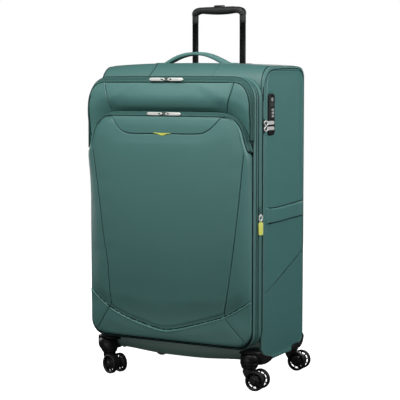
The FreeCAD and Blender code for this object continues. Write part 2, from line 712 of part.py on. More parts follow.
# ================================================================== handles
# top carry handle: padded grip on an arch, pinned to two end mounts
body = new_body()
s = sketch(body, "XZ_Plane", "-handle_y")
arch_top = [(-92, 790), (-86, 795.5), (-76, 801), (-60, 805), (-35, 806.6), (35, 806.6), (60, 805), (76, 801),
            (86, 795.5), (92, 790)]
arch_low = [(95, 784.2), (90, 781.6), (83, 784.5), (72, 790), (58, 793.4), (33, 794.7), (-33, 794.7), (-58, 793.4),
            (-72, 790), (-83, 784.5), (-90, 781.6), (-95, 784.2)]
poly(s, arch_top + arch_low)
pad(body, s, "handle_w", midplane=True)
doc.recompute()
node("carry_handle", fillet(body, (lambda e: abs(abs(mid(e).y - N["handle_y"]) - N["handle_w"] / 2) < 1e-3, 3.0)))

mounts = [fillet(cut(box("%s-11" % cx, "handle_y-17", "764", "22", "34", "17.6"), tub_sharp),
                 (lambda e: abs(mid(e).z - 781.6) < 1e-3, 2.0)) for cx in ("-97", "97")]
node("carry_handle_mounts", fuse(*mounts))

# side handle: webbing over a foam core, sewn down at both ends
body = new_body()
s = sketch(body, "XY_Plane", "strap_z-strap_w/2")
poly(s, [(225, -64), (227.6, -64), (227.6, -42), (231, -33), (234.4, -20), (235.6, 10), (235.6, 80), (234.4, 112),
         (231.5, 128), (228, 138), (227.6, 148), (225, 148), (225, 134), (228.5, 124), (231, 108), (231.6, 80),
         (231.6, 10), (231, -18), (228, -29), (225, -38)])
pad(body, s, "strap_w")
doc.recompute()
node("side_handle", body)

# ================================================================== write
doc.recompute()
bad = [o.Name + " " + o.Label for o in doc.Objects if "Invalid" in o.State or "Error" in o.State]
if bad:
    raise SystemExit("failed objects: " + ", ".join(bad))
labels = [o.Label for o in NODES]
if len(set(labels)) != len(labels) or len(labels) > 60:
    raise SystemExit("labels repeat, or there are too many: %d" % len(labels))
for o in NODES:
    if o.Shape.isNull() or not o.Shape.isValid() or not o.Shape.Solids:
        raise SystemExit("bad shape: " + o.Label)

os.makedirs("parts", exist_ok=True)
for old in os.listdir("parts"):
    if old.endswith(".step"):
        os.remove(os.path.join("parts", old))
lo, hi = V(1e9, 1e9, 1e9), V(-1e9, -1e9, -1e9)
for o in NODES:
    o.Shape.exportStep("parts/%s.step" % o.Label)
    b = o.Shape.BoundBox
    print("%-28s %2d solids  %9.1f mm3  X %7.1f %7.1f  Y %7.1f %7.1f  Z %6.1f %6.1f" % (
        o.Label, len(o.Shape.Solids), o.Shape.Volume, b.XMin, b.XMax, b.YMin, b.YMax, b.ZMin, b.ZMax))
    lo = V(min(lo.x, b.XMin), min(lo.y, b.YMin), min(lo.z, b.ZMin))
    hi = V(max(hi.x, b.XMax), max(hi.y, b.YMax), max(hi.z, b.ZMax))
print("nodes", len(NODES), "box", lo, hi, "middle", (lo + hi) * 0.5)
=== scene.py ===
import math

import bmesh
import bpy
import numpy as np
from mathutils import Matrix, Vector
from mathutils.bvhtree import BVHTree


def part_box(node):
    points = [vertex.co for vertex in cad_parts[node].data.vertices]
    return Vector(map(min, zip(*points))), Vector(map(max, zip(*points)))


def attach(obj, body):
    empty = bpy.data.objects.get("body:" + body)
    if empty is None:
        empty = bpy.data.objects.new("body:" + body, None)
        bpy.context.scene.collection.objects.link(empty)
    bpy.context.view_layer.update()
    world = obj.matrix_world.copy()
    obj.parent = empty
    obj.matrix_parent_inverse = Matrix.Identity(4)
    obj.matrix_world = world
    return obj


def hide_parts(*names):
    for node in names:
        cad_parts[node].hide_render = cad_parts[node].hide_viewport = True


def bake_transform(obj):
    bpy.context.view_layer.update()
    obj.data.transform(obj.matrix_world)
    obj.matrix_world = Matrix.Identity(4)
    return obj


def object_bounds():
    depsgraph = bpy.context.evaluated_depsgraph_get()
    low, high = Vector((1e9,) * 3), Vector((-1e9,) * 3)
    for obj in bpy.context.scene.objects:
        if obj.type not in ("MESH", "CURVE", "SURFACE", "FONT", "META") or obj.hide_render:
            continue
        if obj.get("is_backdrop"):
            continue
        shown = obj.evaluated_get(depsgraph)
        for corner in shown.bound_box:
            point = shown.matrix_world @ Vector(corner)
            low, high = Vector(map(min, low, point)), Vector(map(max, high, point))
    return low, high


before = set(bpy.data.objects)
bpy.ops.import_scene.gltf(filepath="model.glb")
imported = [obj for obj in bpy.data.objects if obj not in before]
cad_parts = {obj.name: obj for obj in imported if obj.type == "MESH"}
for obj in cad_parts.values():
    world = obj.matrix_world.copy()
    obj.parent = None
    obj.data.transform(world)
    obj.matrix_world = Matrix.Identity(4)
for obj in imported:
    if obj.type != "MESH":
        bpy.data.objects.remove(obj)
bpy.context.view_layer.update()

# ------------------------------------------------------------------ frame
# Everything below is written in millimetres in the case's own frame (X right, front towards -Y, Z up,
# X = 0 at the middle of the case) and is turned into the row frame in metres here.
_lo, _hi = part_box("tub_shell")
OX = 0.5 * (_lo.x + _hi.x)
OY = _hi.y - 0.158


def row(a):
    a = np.asarray(a, float).reshape(-1, 3)
    return a * 0.001 + np.array([OX, OY, 0.0])


def P(x, y, z):
    return (OX + x * 0.001, OY + y * 0.001, z * 0.001)


def ss(t):
    t = np.clip(t, 0.0, 1.0)
    return t * t * (3 - 2 * t)


def bump1(t):
    """1 at 0, 0 beyond 1, smooth."""
    return 1 - ss(np.abs(t))


def hash_noise(x, z, seed=0, scale=1.0):
    """Smooth repeatable waves, for the slack of sewn fabric."""
    r = np.random.RandomState(seed)
    out = np.zeros(np.shape(x))
    for _ in range(9):
        ang = r.uniform(0, 2 * math.pi)
        k = scale * r.uniform(0.6, 1.7)
        ph = r.uniform(0, 2 * math.pi)
        out = out + np.sin(k * (math.cos(ang) * x + math.sin(ang) * z) + ph)
    return out / 9.0


# ------------------------------------------------------------------ mesh helpers
def make(name, verts, faces, mat, body=None, smooth=True, slots=None, face_mat=None, mods=None, sharp=None):
    me = bpy.data.meshes.new(name)
    me.from_pydata([tuple(v) for v in row(verts)], [], [tuple(int(i) for i in f) for f in faces])
    me.validate(clean_customdata=False)
    mats = mat if isinstance(mat, (list, tuple)) else [mat]
    for m in mats:
        me.materials.append(m)
    if face_mat is not None:
        me.polygons.foreach_set("material_index", np.asarray(face_mat, np.int32)[: len(me.polygons)])
    bm = bmesh.new()
    bm.from_mesh(me)
    bmesh.ops.recalc_face_normals(bm, faces=bm.faces)
    bm.to_mesh(me)
    bm.free()
    me.polygons.foreach_set("use_smooth", [smooth] * len(me.polygons))
    if smooth and sharp is not None:
        me.set_sharp_from_angle(angle=math.radians(sharp))
    me.update()
    ob = bpy.data.objects.new(name, me)
    bpy.context.scene.collection.objects.link(ob)
    if body:
        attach(ob, body)
    return ob


def grid_faces(nu, nv, cu=False, cv=False, base=0):
    f = []
    for i in range(nu if cu else nu - 1):
        i2 = (i + 1) % nu
        for j in range(nv if cv else nv - 1):
            j2 = (j + 1) % nv
            f.append((base + i * nv + j, base + i2 * nv + j, base + i2 * nv + j2, base + i * nv + j2))
    return f


class Pile:
    """Gathers many small solids into one mesh."""

    def __init__(self):
        self.v, self.f, self.n = [], [], 0

    def add(self, v, f):
        v = np.asarray(v, float).reshape(-1, 3)
        self.v.append(v)
        self.f.extend([tuple(i + self.n for i in q) for q in f])
        self.n += len(v)

    def make(self, name, mat, body, **k):
        return make(name, np.concatenate(self.v), self.f, mat, body, **k)


def resample(p, step, closed=False):
    p = np.asarray(p, float)
    if closed:
        p = np.vstack([p, p[:1]])
    d = np.r_[0, np.cumsum(np.linalg.norm(np.diff(p, axis=0), axis=1))]
    n = max(2, int(round(d[-1] / step)) + 1)
    t = np.linspace(0, d[-1], n)
    q = np.stack([np.interp(t, d, p[:, k]) for k in range(p.shape[1])], 1)
    return q[:-1] if closed else q


def spline(pts, step=2.0, closed=False):
    """A smooth line through points (centripetal Catmull-Rom), sampled at an even step."""
    p = np.asarray(pts, float)
    if closed:
        p = np.vstack([p[-1], p, p[0], p[1]])
    else:
        p = np.vstack([2 * p[0] - p[1], p, 2 * p[-1] - p[-2]])
    out = []
    for i in range(1, len(p) - 2):
        p0, p1, p2, p3 = p[i - 1], p[i], p[i + 1], p[i + 2]
        t0 = 0.0
        t1 = t0 + max(np.linalg.norm(p1 - p0), 1e-6) ** 0.5
        t2 = t1 + max(np.linalg.norm(p2 - p1), 1e-6) ** 0.5
        t3 = t2 + max(np.linalg.norm(p3 - p2), 1e-6) ** 0.5
        for t in np.linspace(t1, t2, 24, endpoint=False):
            a1 = (t1 - t) / (t1 - t0) * p0 + (t - t0) / (t1 - t0) * p1
            a2 = (t2 - t) / (t2 - t1) * p1 + (t - t1) / (t2 - t1) * p2
            a3 = (t3 - t) / (t3 - t2) * p2 + (t - t2) / (t3 - t2) * p3
            b1 = (t2 - t) / (t2 - t0) * a1 + (t - t0) / (t2 - t0) * a2
            b2 = (t3 - t) / (t3 - t1) * a2 + (t - t1) / (t3 - t1) * a3
            out.append((t2 - t) / (t2 - t1) * b1 + (t - t1) / (t2 - t1) * b2)
    out.append(p[-2])
    out = np.array(out)
    if closed:
        out = out[:-1]
    return resample(out, step, closed)


def tangents(p, closed=False):
    if closed:
        t = np.roll(p, -1, 0) - np.roll(p, 1, 0)
    else:
        t = np.gradient(p, axis=0)
    return t / np.maximum(np.linalg.norm(t, axis=1, keepdims=True), 1e-9)


def tube(path, normal, rad, sides=8, closed=False, flat=1.0, taper=0.0):
    """Round (or flattened) bead along a path.  normal: one vector for each point, out of the surface."""
    p = np.asarray(path, float)
    t = tangents(p, closed)
    n = np.broadcast_to(np.asarray(normal, float), p.shape)
    n = n - (n * t).sum(1, keepdims=True) * t
    n = n / np.maximum(np.linalg.norm(n, axis=1, keepdims=True), 1e-9)
    b = np.cross(t, n)
    a = np.linspace(0, 2 * math.pi, sides, endpoint=False)
    r = np.full(len(p), float(rad)) if np.isscalar(rad) else np.asarray(rad, float)
    v = (p[:, None, :] + r[:, None, None] * (np.cos(a)[None, :, None] * n[:, None, :] * flat
         + np.sin(a)[None, :, None] * b[:, None, :])).reshape(-1, 3)
    f = grid_faces(len(p), sides, cu=closed, cv=True)
    if not closed:
        f.append(tuple(range(sides)))
        f.append(tuple(reversed(range((len(p) - 1) * sides, len(p) * sides))))
    return v, f


def capsule(c, t, n, length, rad, pile, lift=0.35):
    """One thread stitch: a short bead whose ends dip into the cloth."""
    b = np.cross(t, n)
    ring = []
    for s, r, h in ((-0.5, 0.30, -0.9), (-0.36, 0.85, 0.0), (0.0, 1.0, lift), (0.36, 0.85, 0.0), (0.5, 0.30, -0.9)):
        m = c + t * length * s + n * rad * h
        for a in (0, 1, 2, 3, 4, 5):
            w = a * math.pi / 3
            ring.append(m + rad * r * (math.cos(w) * n + math.sin(w) * b))
    f = grid_faces(5, 6, cv=True)
    f.append(tuple(range(6)))
    f.append(tuple(reversed(range(24, 30))))
    pile.add(np.array(ring), f)


def stitches(pile, path, normal, pitch=4.2, length=3.0, rad=0.42, lift=0.3, closed=False, off=0.0):
    p = resample(path, pitch, closed)
    t = tangents(p, closed)
    nn = np.asarray(normal, float)
    if nn.ndim == 1:
        nn = np.broadcast_to(nn, p.shape)
    else:
        src = np.asarray(path, float)
        idx = [int(np.argmin(((src - q) ** 2).sum(1))) for q in p]
        nn = nn[idx]
    for i in range(len(p)):
        n = nn[i] - (nn[i] @ t[i]) * t[i]
        n = n / max(np.linalg.norm(n), 1e-9)
        capsule(p[i] + n * off, t[i], n, length, rad, pile, lift)


def teeth(pile, path, normal, pitch=2.1, across=2.6, along=1.25, high=1.0, closed=False, stagger=0.5):
    """Zip coil: a row of rounded teeth, every other one set to one side."""
    p = resample(path, pitch, closed)
    t = tangents(p, closed)
    src = np.asarray(path, float)
    nn = np.asarray(normal, float)
    if nn.ndim == 1:
        nn = np.broadcast_to(nn, src.shape)
    idx = np.array([int(np.argmin(((src - q) ** 2).sum(1))) for q in p])
    nn = nn[idx]
    for i in range(len(p)):
        n = nn[i] - (nn[i] @ t[i]) * t[i]
        n = n / max(np.linalg.norm(n), 1e-9)
        b = np.cross(t[i], n)
        c = p[i] + b * (stagger if i % 2 else -stagger)
        v = []
        for h, k, w in ((-0.6, 1.0, 1.0), (0.55, 1.0, 1.0), (1.0, 0.6, 0.72)):
            for sx, sy in ((-1, -1), (1, -1), (1, 1), (-1, 1)):
                v.append(c + t[i] * sx * along * 0.5 * k + b * sy * across * 0.5 * w + n * high * h)
        f = grid_faces(3, 4, cv=True)
        f += [(3, 2, 1, 0), (8, 9, 10, 11)]
        pile.add(np.array(v), f)


# ------------------------------------------------------------------ outlines
LID_X, LID_Z0, LID_ZT, RT, RB = 225.0, 100.0, 745.8, 50.0, 42.0
KCR, XCR = 0.6e-4, -12.0


def lid_top(x):
    return LID_ZT - KCR * (x - XCR) ** 2


def lid_loop():
    """Outline of the lid seen from the front, with its outward normals, anticlockwise from the bottom middle."""
    pts, nor = [], []

    def put(x, z, nx, nz):
        pts.append((x, z))
        nor.append((nx, nz))

    for x in np.linspace(0, LID_X - RB, 24, endpoint=False):
        put(x, LID_Z0, 0, -1)
    for a in np.radians(np.linspace(-90, 0, 15, endpoint=False)):
        put(LID_X - RB + RB * math.cos(a), LID_Z0 + RB + RB * math.sin(a), math.cos(a), math.sin(a))

    def junction(sign):
        xc = sign * (LID_X - RT)
        xj = xc
        for _ in range(8):
            th = math.atan(-2 * KCR * (xj - XCR))
            nx, nz = -math.sin(th), math.cos(th)
            xj = xc + RT * nx
        return xj, nx, nz, xc, lid_top(xj) - RT * nz

    xj, nx, nz, xc, zc = junction(1)
    for z in np.linspace(LID_Z0 + RB, zc, 52, endpoint=False):
        put(LID_X, z, 1, 0)
    a1 = math.atan2(nz, nx)
    for a in np.linspace(0, a1, 19, endpoint=False):
        put(xc + RT * math.cos(a), zc + RT * math.sin(a), math.cos(a), math.sin(a))
    yj, mx, mz, yc, wc = junction(-1)
    for x in np.linspace(xj, yj, 44, endpoint=False):
        th = math.atan(-2 * KCR * (x - XCR))
        put(x, lid_top(x), -math.sin(th), math.cos(th))
    a2 = math.atan2(mz, mx)
    for a in np.linspace(a2, math.pi, 19, endpoint=False):
        put(yc + RT * math.cos(a), wc + RT * math.sin(a), math.cos(a), math.sin(a))
    for z in np.linspace(wc, LID_Z0 + RB, 52, endpoint=False):
        put(-LID_X, z, -1, 0)
    for a in np.radians(np.linspace(180, 270, 15, endpoint=False)):
        put(-LID_X + RB + RB * math.cos(a), LID_Z0 + RB + RB * math.sin(a), math.cos(a), math.sin(a))
    for x in np.linspace(-LID_X + RB, 0, 24, endpoint=False):
        put(x, LID_Z0, 0, -1)
    return np.array(pts), np.array(nor)


LOOP, LNOR = lid_loop()
NL = len(LOOP)


def loop_at(d):
    return LOOP + LNOR * d


def ring(profile):
    """Sweeps (outward offset, Y) pairs round the lid outline.  Returns vertices and faces, open across the profile."""
    m = len(profile)
    v = np.zeros((NL, m, 3))
    for j, (d, y) in enumerate(profile):
        q = loop_at(d)
        v[:, j, 0], v[:, j, 1], v[:, j, 2] = q[:, 0], y, q[:, 1]
    return v.reshape(-1, 3), grid_faces(NL, m, cu=True)


def ring_closed(profile):
    v, _ = ring(profile)
    return v, grid_faces(NL, len(profile), cu=True, cv=True)


def ring_path(d, y):
    q = loop_at(d)
    return np.stack([q[:, 0], np.full(NL, float(y)), q[:, 1]], 1), np.stack([LNOR[:, 0], np.zeros(NL), LNOR[:, 1]], 1)


# ------------------------------------------------------------------ materials
class Tree:
    def __init__(self, name):
        self.mat = bpy.data.materials.new(name)
        self.mat.use_nodes = True
        self.nt = self.mat.node_tree
        self.nt.nodes.clear()
        self.out = self.nt.nodes.new("ShaderNodeOutputMaterial")
        self.bsdf = self.nt.nodes.new("ShaderNodeBsdfPrincipled")
        self.nt.links.new(self.bsdf.outputs[0], self.out.inputs[0])
        self.tc = self.nt.nodes.new("ShaderNodeTexCoord")

    def node(self, kind, **props):
        n = self.nt.nodes.new(kind)
        for k, v in props.items():
            setattr(n, k, v)
        return n

    def link(self, a, b):
        self.nt.links.new(a, b)
        return b

    def val(self, sock, v):
        if hasattr(v, "is_linked") or isinstance(v, bpy.types.NodeSocket):
            self.nt.links.new(v, sock)
        else:
            sock.default_value = v

    def math(self, op, a, b=0.0, c=0.0, clamp=False):
        n = self.node("ShaderNodeMath", operation=op, use_clamp=clamp)
        self.val(n.inputs[0], a)
        self.val(n.inputs[1], b)
        if len(n.inputs) > 2:
            self.val(n.inputs[2], c)
        return n.outputs[0]

    def mix(self, fac, a, b):
        n = self.node("ShaderNodeMix", data_type="RGBA", blend_type="MIX")
        self.val(n.inputs[0], fac)
        for s, v in ((n.inputs[6], a), (n.inputs[7], b)):
            if isinstance(v, bpy.types.NodeSocket):
                self.nt.links.new(v, s)
            else:
                s.default_value = (v[0], v[1], v[2], 1.0)
        return n.outputs[2]

    def noise(self, scale, detail=2.0, rough=0.5, stretch=None, lac=2.0):
        n = self.node("ShaderNodeTexNoise")
        n.inputs["Scale"].default_value = scale
        n.inputs["Detail"].default_value = detail
        n.inputs["Roughness"].default_value = rough
        src = self.tc.outputs["Object"]
        if stretch:
            m = self.node("ShaderNodeMapping")
            m.inputs["Scale"].default_value = stretch
            self.link(src, m.inputs["Vector"])
            src = m.outputs["Vector"]
        self.link(src, n.inputs["Vector"])
        return n.outputs["Fac"]

    def ramp(self, fac, lo, hi, a=0.0, b=1.0):
        n = self.node("ShaderNodeMapRange", clamp=True)
        self.val(n.inputs[0], fac)
        n.inputs[1].default_value, n.inputs[2].default_value = lo, hi
        n.inputs[3].default_value, n.inputs[4].default_value = a, b
        return n.outputs[0]

    def point(self):
        return self.node("ShaderNodeNewGeometry").outputs["Pointiness"]

    def bump(self, height, strength, distance, under=None):
        n = self.node("ShaderNodeBump")
        n.inputs["Strength"].default_value = strength
        n.inputs["Distance"].default_value = distance
        self.link(height, n.inputs["Height"])
        if under is not None:
            self.link(under, n.inputs["Normal"])
        return n.outputs[0]

    def weave(self, pitch, twill=False):
        """Threads over and under, drawn in the plane that the surface faces."""
        k = math.pi / pitch
        s = self.node("ShaderNodeSeparateXYZ")
        self.link(self.tc.outputs["Object"], s.inputs[0])
        g = self.node("ShaderNodeSeparateXYZ")
        self.link(self.tc.outputs["Normal"], g.inputs[0])
        x, y, z = s.outputs
        if twill:
            one = self.math("ADD", self.math("ADD", x, y), self.math("MULTIPLY", z, 0.5))
            two = self.math("SUBTRACT", self.math("ADD", x, y), self.math("MULTIPLY", z, 2.0))
            a = self.math("SINE", self.math("MULTIPLY", one, k))
            b = self.math("SINE", self.math("MULTIPLY", two, k))
            return self.math("MULTIPLY", a, b)
        sx, sy, sz = (self.math("SINE", self.math("MULTIPLY", c, k)) for c in (x, y, z))
        wx, wy, wz = (self.math("MULTIPLY", c, c) for c in g.outputs)
        h = self.math("MULTIPLY", self.math("MULTIPLY", sy, sz), wx)
        h = self.math("ADD", h, self.math("MULTIPLY", self.math("MULTIPLY", sx, sz), wy))
        return self.math("ADD", h, self.math("MULTIPLY", self.math("MULTIPLY", sx, sy), wz))

    def finish(self, base, rough, normal=None, **vals):
        b = self.bsdf.inputs
        self.val(b["Base Color"], base)
        self.val(b["Roughness"], rough)
        if normal is not None:
            self.link(normal, b["Normal"])
        for k, v in vals.items():
            b[k.replace("_", " ")].default_value = v
        return self.mat


def scaled(c, k):
    return tuple(min(1.0, v * k) for v in c)


def fabric(name, colour, pitch=0.0010, weave_amt=0.30, heather=0.10, patchy=0.07, sheen=0.04, rough=0.54,
           bump=0.35, wear=0.18, hollow_darkening=0.22, twill=False, tint=None, spec=0.6, span=0.18):
    t = Tree(name)
    w = t.weave(pitch, twill)
    fuzz = t.noise(1300.0, 3.0, 0.6)
    slub = t.noise(260.0, 2.0, 0.5, (1.0, 1.0, 0.22))
    big = t.noise(7.0, 3.0, 0.55)
    mid = t.noise(75.0, 2.0, 0.5)
    f = t.math("MULTIPLY_ADD", w, weave_amt * 0.5, 0.5)
    f = t.math("ADD", f, t.math("MULTIPLY", t.math("SUBTRACT", fuzz, 0.5), heather * 3.0))
    f = t.math("ADD", f, t.math("MULTIPLY", t.math("SUBTRACT", slub, 0.5), heather * 1.6), clamp=True)
    col = t.mix(f, scaled(colour, 1 - span), scaled(colour, 1 + span))
    col = t.mix(t.math("MULTIPLY", t.ramp(big, 0.35, 0.7), patchy * 2), col, scaled(colour, 0.70))
    p = t.point()
    col = t.mix(t.math("MULTIPLY", t.ramp(p, 0.515, 0.60), wear), col, scaled(colour, 1.75))
    # darker in concave hollows and creases, read from pointiness
    col = t.mix(t.math("MULTIPLY", t.ramp(p, 0.485, 0.42), hollow_darkening), col, scaled(colour, 0.35))
    h = t.math("ADD", w, t.math("MULTIPLY", fuzz, 0.9))
    n1 = t.bump(mid, 0.10, 0.0012)
    n = t.bump(h, bump, 0.00022, n1)
    r = t.ramp(t.math("ADD", fuzz, t.math("MULTIPLY", w, 0.15)), 0.3, 0.8, rough - 0.05, rough + 0.08)
    tc = tint or (0.55, 0.62, 0.62)
    return t.finish(col, r, n, Sheen_Weight=sheen, Sheen_Roughness=0.45, Sheen_Tint=(tc[0], tc[1], tc[2], 1.0),
                    Specular_IOR_Level=spec)


def plastic(name, colour, rough=0.42, grain=1500.0, bump=0.18, spec=0.5, wear=0.5, coat=0.0, light=None):
    t = Tree(name)
    g = t.noise(grain, 2.0, 0.55)
    big = t.noise(24.0, 3.0, 0.5)
    p = t.point()
    edge = t.math("MULTIPLY", t.ramp(p, 0.52, 0.62), wear)
    col = t.mix(t.math("MULTIPLY", t.ramp(big, 0.3, 0.7), 0.5), scaled(colour, 0.8), scaled(colour, 1.25))
    col = t.mix(edge, col, light or scaled(colour, 3.2))
    r = t.ramp(t.math("ADD", t.math("MULTIPLY", g, 0.4), t.math("MULTIPLY", big, 0.6)), 0.3, 0.7, rough - 0.06, rough + 0.09)
    n = t.bump(g, bump, 0.00012)
    return t.finish(col, r, n, Specular_IOR_Level=spec, Coat_Weight=coat, Coat_Roughness=0.2)


def metal(name, colour, rough=0.30, brushed=(40.0, 40.0, 900.0), metallic=1.0, dark=0.55, wear=0.35):
    t = Tree(name)
    b = t.noise(3.0, 3.0, 0.6, brushed)
    big = t.noise(60.0, 2.0, 0.5)
    p = t.point()
    col = t.mix(t.math("MULTIPLY", t.ramp(big, 0.35, 0.75), 0.35), colour, scaled(colour, dark))
    col = t.mix(t.math("MULTIPLY", t.ramp(p, 0.49, 0.42), wear), col, scaled(colour, 0.3))
    r = t.ramp(b, 0.3, 0.7, rough - 0.07, rough + 0.10)
    n = t.bump(b, 0.06, 0.0001)
    return t.finish(col, r, n, Metallic=metallic)


def srgb(r, g, b):
    def f(c):
        c /= 255.0
        return c / 12.92 if c <= 0.04045 else ((c + 0.055) / 1.055) ** 2.4
    return (f(r), f(g), f(b))


TEAL = srgb(72, 118, 114)
M_FAB = fabric("fabric_teal", TEAL)
M_SIDE = fabric("fabric_teal_side", srgb(67, 118, 114), pitch=0.0027, weave_amt=0.95, heather=0.10, bump=0.5, span=0.52)
# lighter, greyer copy of the teal fabric: painted bounce light from the floor on the front's bottom band and underside
M_PAN_PAINTED_BOUNCE = fabric("fabric_under_painted_bounce_light", srgb(92, 122, 115), pitch=0.0016, weave_amt=0.6, heather=0.12, span=0.26)
# darker copy of the teal fabric for the wrap: painted shade that darkens the roof
M_WRAP_PAINTED_SHADE = fabric("fabric_teal_wrap_painted_shade", srgb(65, 108, 104), heather=0.12)
M_TAPE = fabric("zip_tape_teal", srgb(46, 84, 80), pitch=0.0007, weave_amt=0.5, heather=0.06, sheen=0.0, rough=0.7, spec=0.3)
M_COIL = plastic("zip_coil_teal", srgb(46, 76, 73), rough=0.48, grain=900.0, wear=0.35)
M_GAP = fabric("seam_dark", srgb(13, 27, 27), pitch=0.0007, weave_amt=0.3, heather=0.05, sheen=0.0, spec=0.15, rough=0.8)
M_PIPE = fabric("piping_teal", srgb(80, 121, 116), pitch=0.0009, weave_amt=0.5, heather=0.10, wear=0.30, rough=0.74)
M_THREAD = fabric("thread_teal", srgb(104, 148, 143), pitch=0.0004, weave_amt=0.4, heather=0.10, sheen=0.25, bump=0.5)
M_LINING = fabric("lining_grey", (0.060, 0.066, 0.070), pitch=0.0018, weave_amt=0.5, heather=0.08, sheen=0.2, rough=0.66)
M_STRAP = fabric("webbing_black", (0.016, 0.017, 0.018), pitch=0.0020, weave_amt=0.6, heather=0.1, sheen=0.15)
# darker copy of the teal fabric: painted shade on the carry handle's underside
M_HANDLE_UNDER_PAINTED_SHADE = fabric("handle_under_painted_shade", srgb(30, 50, 49), pitch=0.0016, weave_amt=0.6, heather=0.1, sheen=0.12)
# lighter seam colour; on the main zip gap's bottom run it is painted light
M_SHADE = fabric("seam_soft", srgb(44, 72, 70), pitch=0.0007, weave_amt=0.3, heather=0.05, sheen=0.08)
M_BLACK = plastic("plastic_black_satin", (0.0060, 0.0064, 0.0066), rough=0.42, spec=0.36)
M_CAST = plastic("caster_black", (0.0050, 0.0053, 0.0055), rough=0.40, spec=0.36, wear=0.35)
M_GRIP = plastic("grip_black_soft", (0.0125, 0.0135, 0.0135), rough=0.52, grain=1100.0, bump=0.25, spec=0.42)
M_TAB = plastic("tab_olive_rubber", srgb(178, 186, 66), rough=0.5, grain=700.0, bump=0.12, wear=0.2, light=srgb(214, 222, 110))
M_GUN = metal("slider_dark", srgb(58, 78, 76), rough=0.38, metallic=0.6)
M_EDGE = plastic("lock_edge_grey", (0.040, 0.042, 0.043), rough=0.40)
M_DIAL2 = plastic("key_grey", (0.20, 0.205, 0.205), rough=0.38)
M_GLOSS = plastic("plastic_black_gloss", (0.008, 0.0085, 0.009), rough=0.22, grain=600.0, bump=0.05, coat=0.25)
M_TYRE = plastic("tyre_black", (0.0048, 0.0050, 0.0052), rough=0.55, spec=0.30, grain=800.0, bump=0.15, wear=0.6)
M_TUBE = metal("tube_black_anodised", (0.0085, 0.0092, 0.0095), rough=0.36, brushed=(700.0, 700.0, 12.0), metallic=0.75)
M_METAL = metal("pull_silver", (0.86, 0.86, 0.835), rough=0.34, metallic=0.35, dark=0.78)
M_SLIDER = metal("slider_silver", (0.19, 0.225, 0.215), rough=0.40, metallic=0.45)
M_STEEL = metal("steel", (0.55, 0.56, 0.57), rough=0.28)
M_SPRING = metal("spring_steel", (0.30, 0.31, 0.33), rough=0.35)
M_NEON = plastic("pull_neon_rubber", srgb(240, 246, 118), rough=0.48, grain=700.0, bump=0.12, wear=0.2,
                 light=srgb(236, 242, 150))
M_BOARD = plastic("board_grey", (0.16, 0.165, 0.17), rough=0.7, grain=300.0, bump=0.2)
M_DIGIT = plastic("digit_white", (0.78, 0.78, 0.76), rough=0.5, grain=500.0, wear=0.1, light=(0.9, 0.9, 0.9))
M_DIAL = plastic("dial_grey", (0.30, 0.31, 0.31), rough=0.42, wear=0.3, light=(0.7, 0.7, 0.7))
M_INK = plastic("ink_black", (0.006, 0.006, 0.006), rough=0.5, wear=0.0)


# ------------------------------------------------------------------ tub
Y0, Y1, Z0, Z1 = -84.0, 158.0, 62.0, 779.3
YM = 37.0
TUB_ROWS = np.array(sorted(set(
    [96, 104, 112, 122, 134, 146, 158, 170, 182, 194, 206, 218, 230, 240, 250, 257, 261.5, 264, 265.4, 266.4, 267.4, 268.8,
     271.3, 276, 284, 294, 306, 318, 332, 346, 360, 372, 384, 393, 400, 407, 413.5, 420, 427, 434, 443, 455, 468, 482, 496,
     510, 524, 538, 552, 566, 580, 592, 602, 612, 622, 632, 642, 652, 662, 672, 682, 692, 702, 712, 722, 731])))


def crown(x):
    """How far the top lies under its highest line."""
    x = np.asarray(x, float)
    a = np.abs(x) / 215.0
    return 6.4 * a ** np.where(x < 0, 2.6, 2.0) + 4.0 * np.clip((np.abs(x) - 205.0) / 20.0, 0, 1) ** 2


def droop(x, y):
    """The soft underside hangs between the two front casters."""
    fx = np.exp(-np.abs((np.asarray(x, float) + 3) / 128.0) ** 3.2)
    fy = np.exp(-((np.asarray(y, float) + 46) / 62.0) ** 2) + 0.35 * np.exp(-((np.asarray(y, float) - 70) / 55.0) ** 2)
    return 9.5 * fx * fy


def chains(x, d=0.0, sag=True, front=0.0):
    """Front and back half of the Y-Z outline at one X, inset by d, both from bottom middle to top middle."""
    ft, fb, bt, bb = 46.0 + 12.0 * (1 - (x / 225.0) ** 2) - d, 20.0 - d, 28.0 - d, 30.0 - d
    ft, fb, bt, bb = (max(r, 1.0) for r in (ft, fb, bt, bb))
    y0, y1, z0 = Y0 + d + front, Y1 - d, Z0 + d
    z1 = Z1 - float(crown(x)) - d
    out = []
    for s, ye, rb, rt in ((-1, y0, fb, ft), (1, y1, bb, bt)):
        p = [(y, z0) for y in np.linspace(YM, ye - s * rb, 15)[:-1]]
        for a in np.radians(np.linspace(0, 90, 9)):
            p.append((ye - s * rb + s * rb * math.sin(a), z0 + rb - rb * math.cos(a)))
        lo, hi = z0 + rb, z1 - rt
        rows = TUB_ROWS.copy()
        rows = np.clip(rows, lo + 1.0, None)
        over = rows > hi - 1.0
        rows[over] = hi - 1.0 - 0.5 * np.arange(over.sum())[::-1] if over.any() else rows[over]
        p += [(ye, z) for z in rows]
        for a in np.radians(np.linspace(90, 0, 13)):
            p.append((ye - s * rt + s * rt * math.sin(a), z1 - rt + rt * math.cos(a)))
        p += [(y, z1) for y in np.linspace(ye - s * rt, YM, 15)[1:]]
        p = np.array(p)
        if sag:
            low = ss((120.0 - p[:, 1]) / 60.0)
            p[:, 1] -= droop(x, p[:, 0]) * low
        out.append(p)
    return out


NCH = len(chains(0.0)[0])


def full_loop(x, d=0.0, sag=True, front=0.0):
    a, b = chains(x, d, sag, front)
    return np.vstack([a, b[::-1][1:-1]])


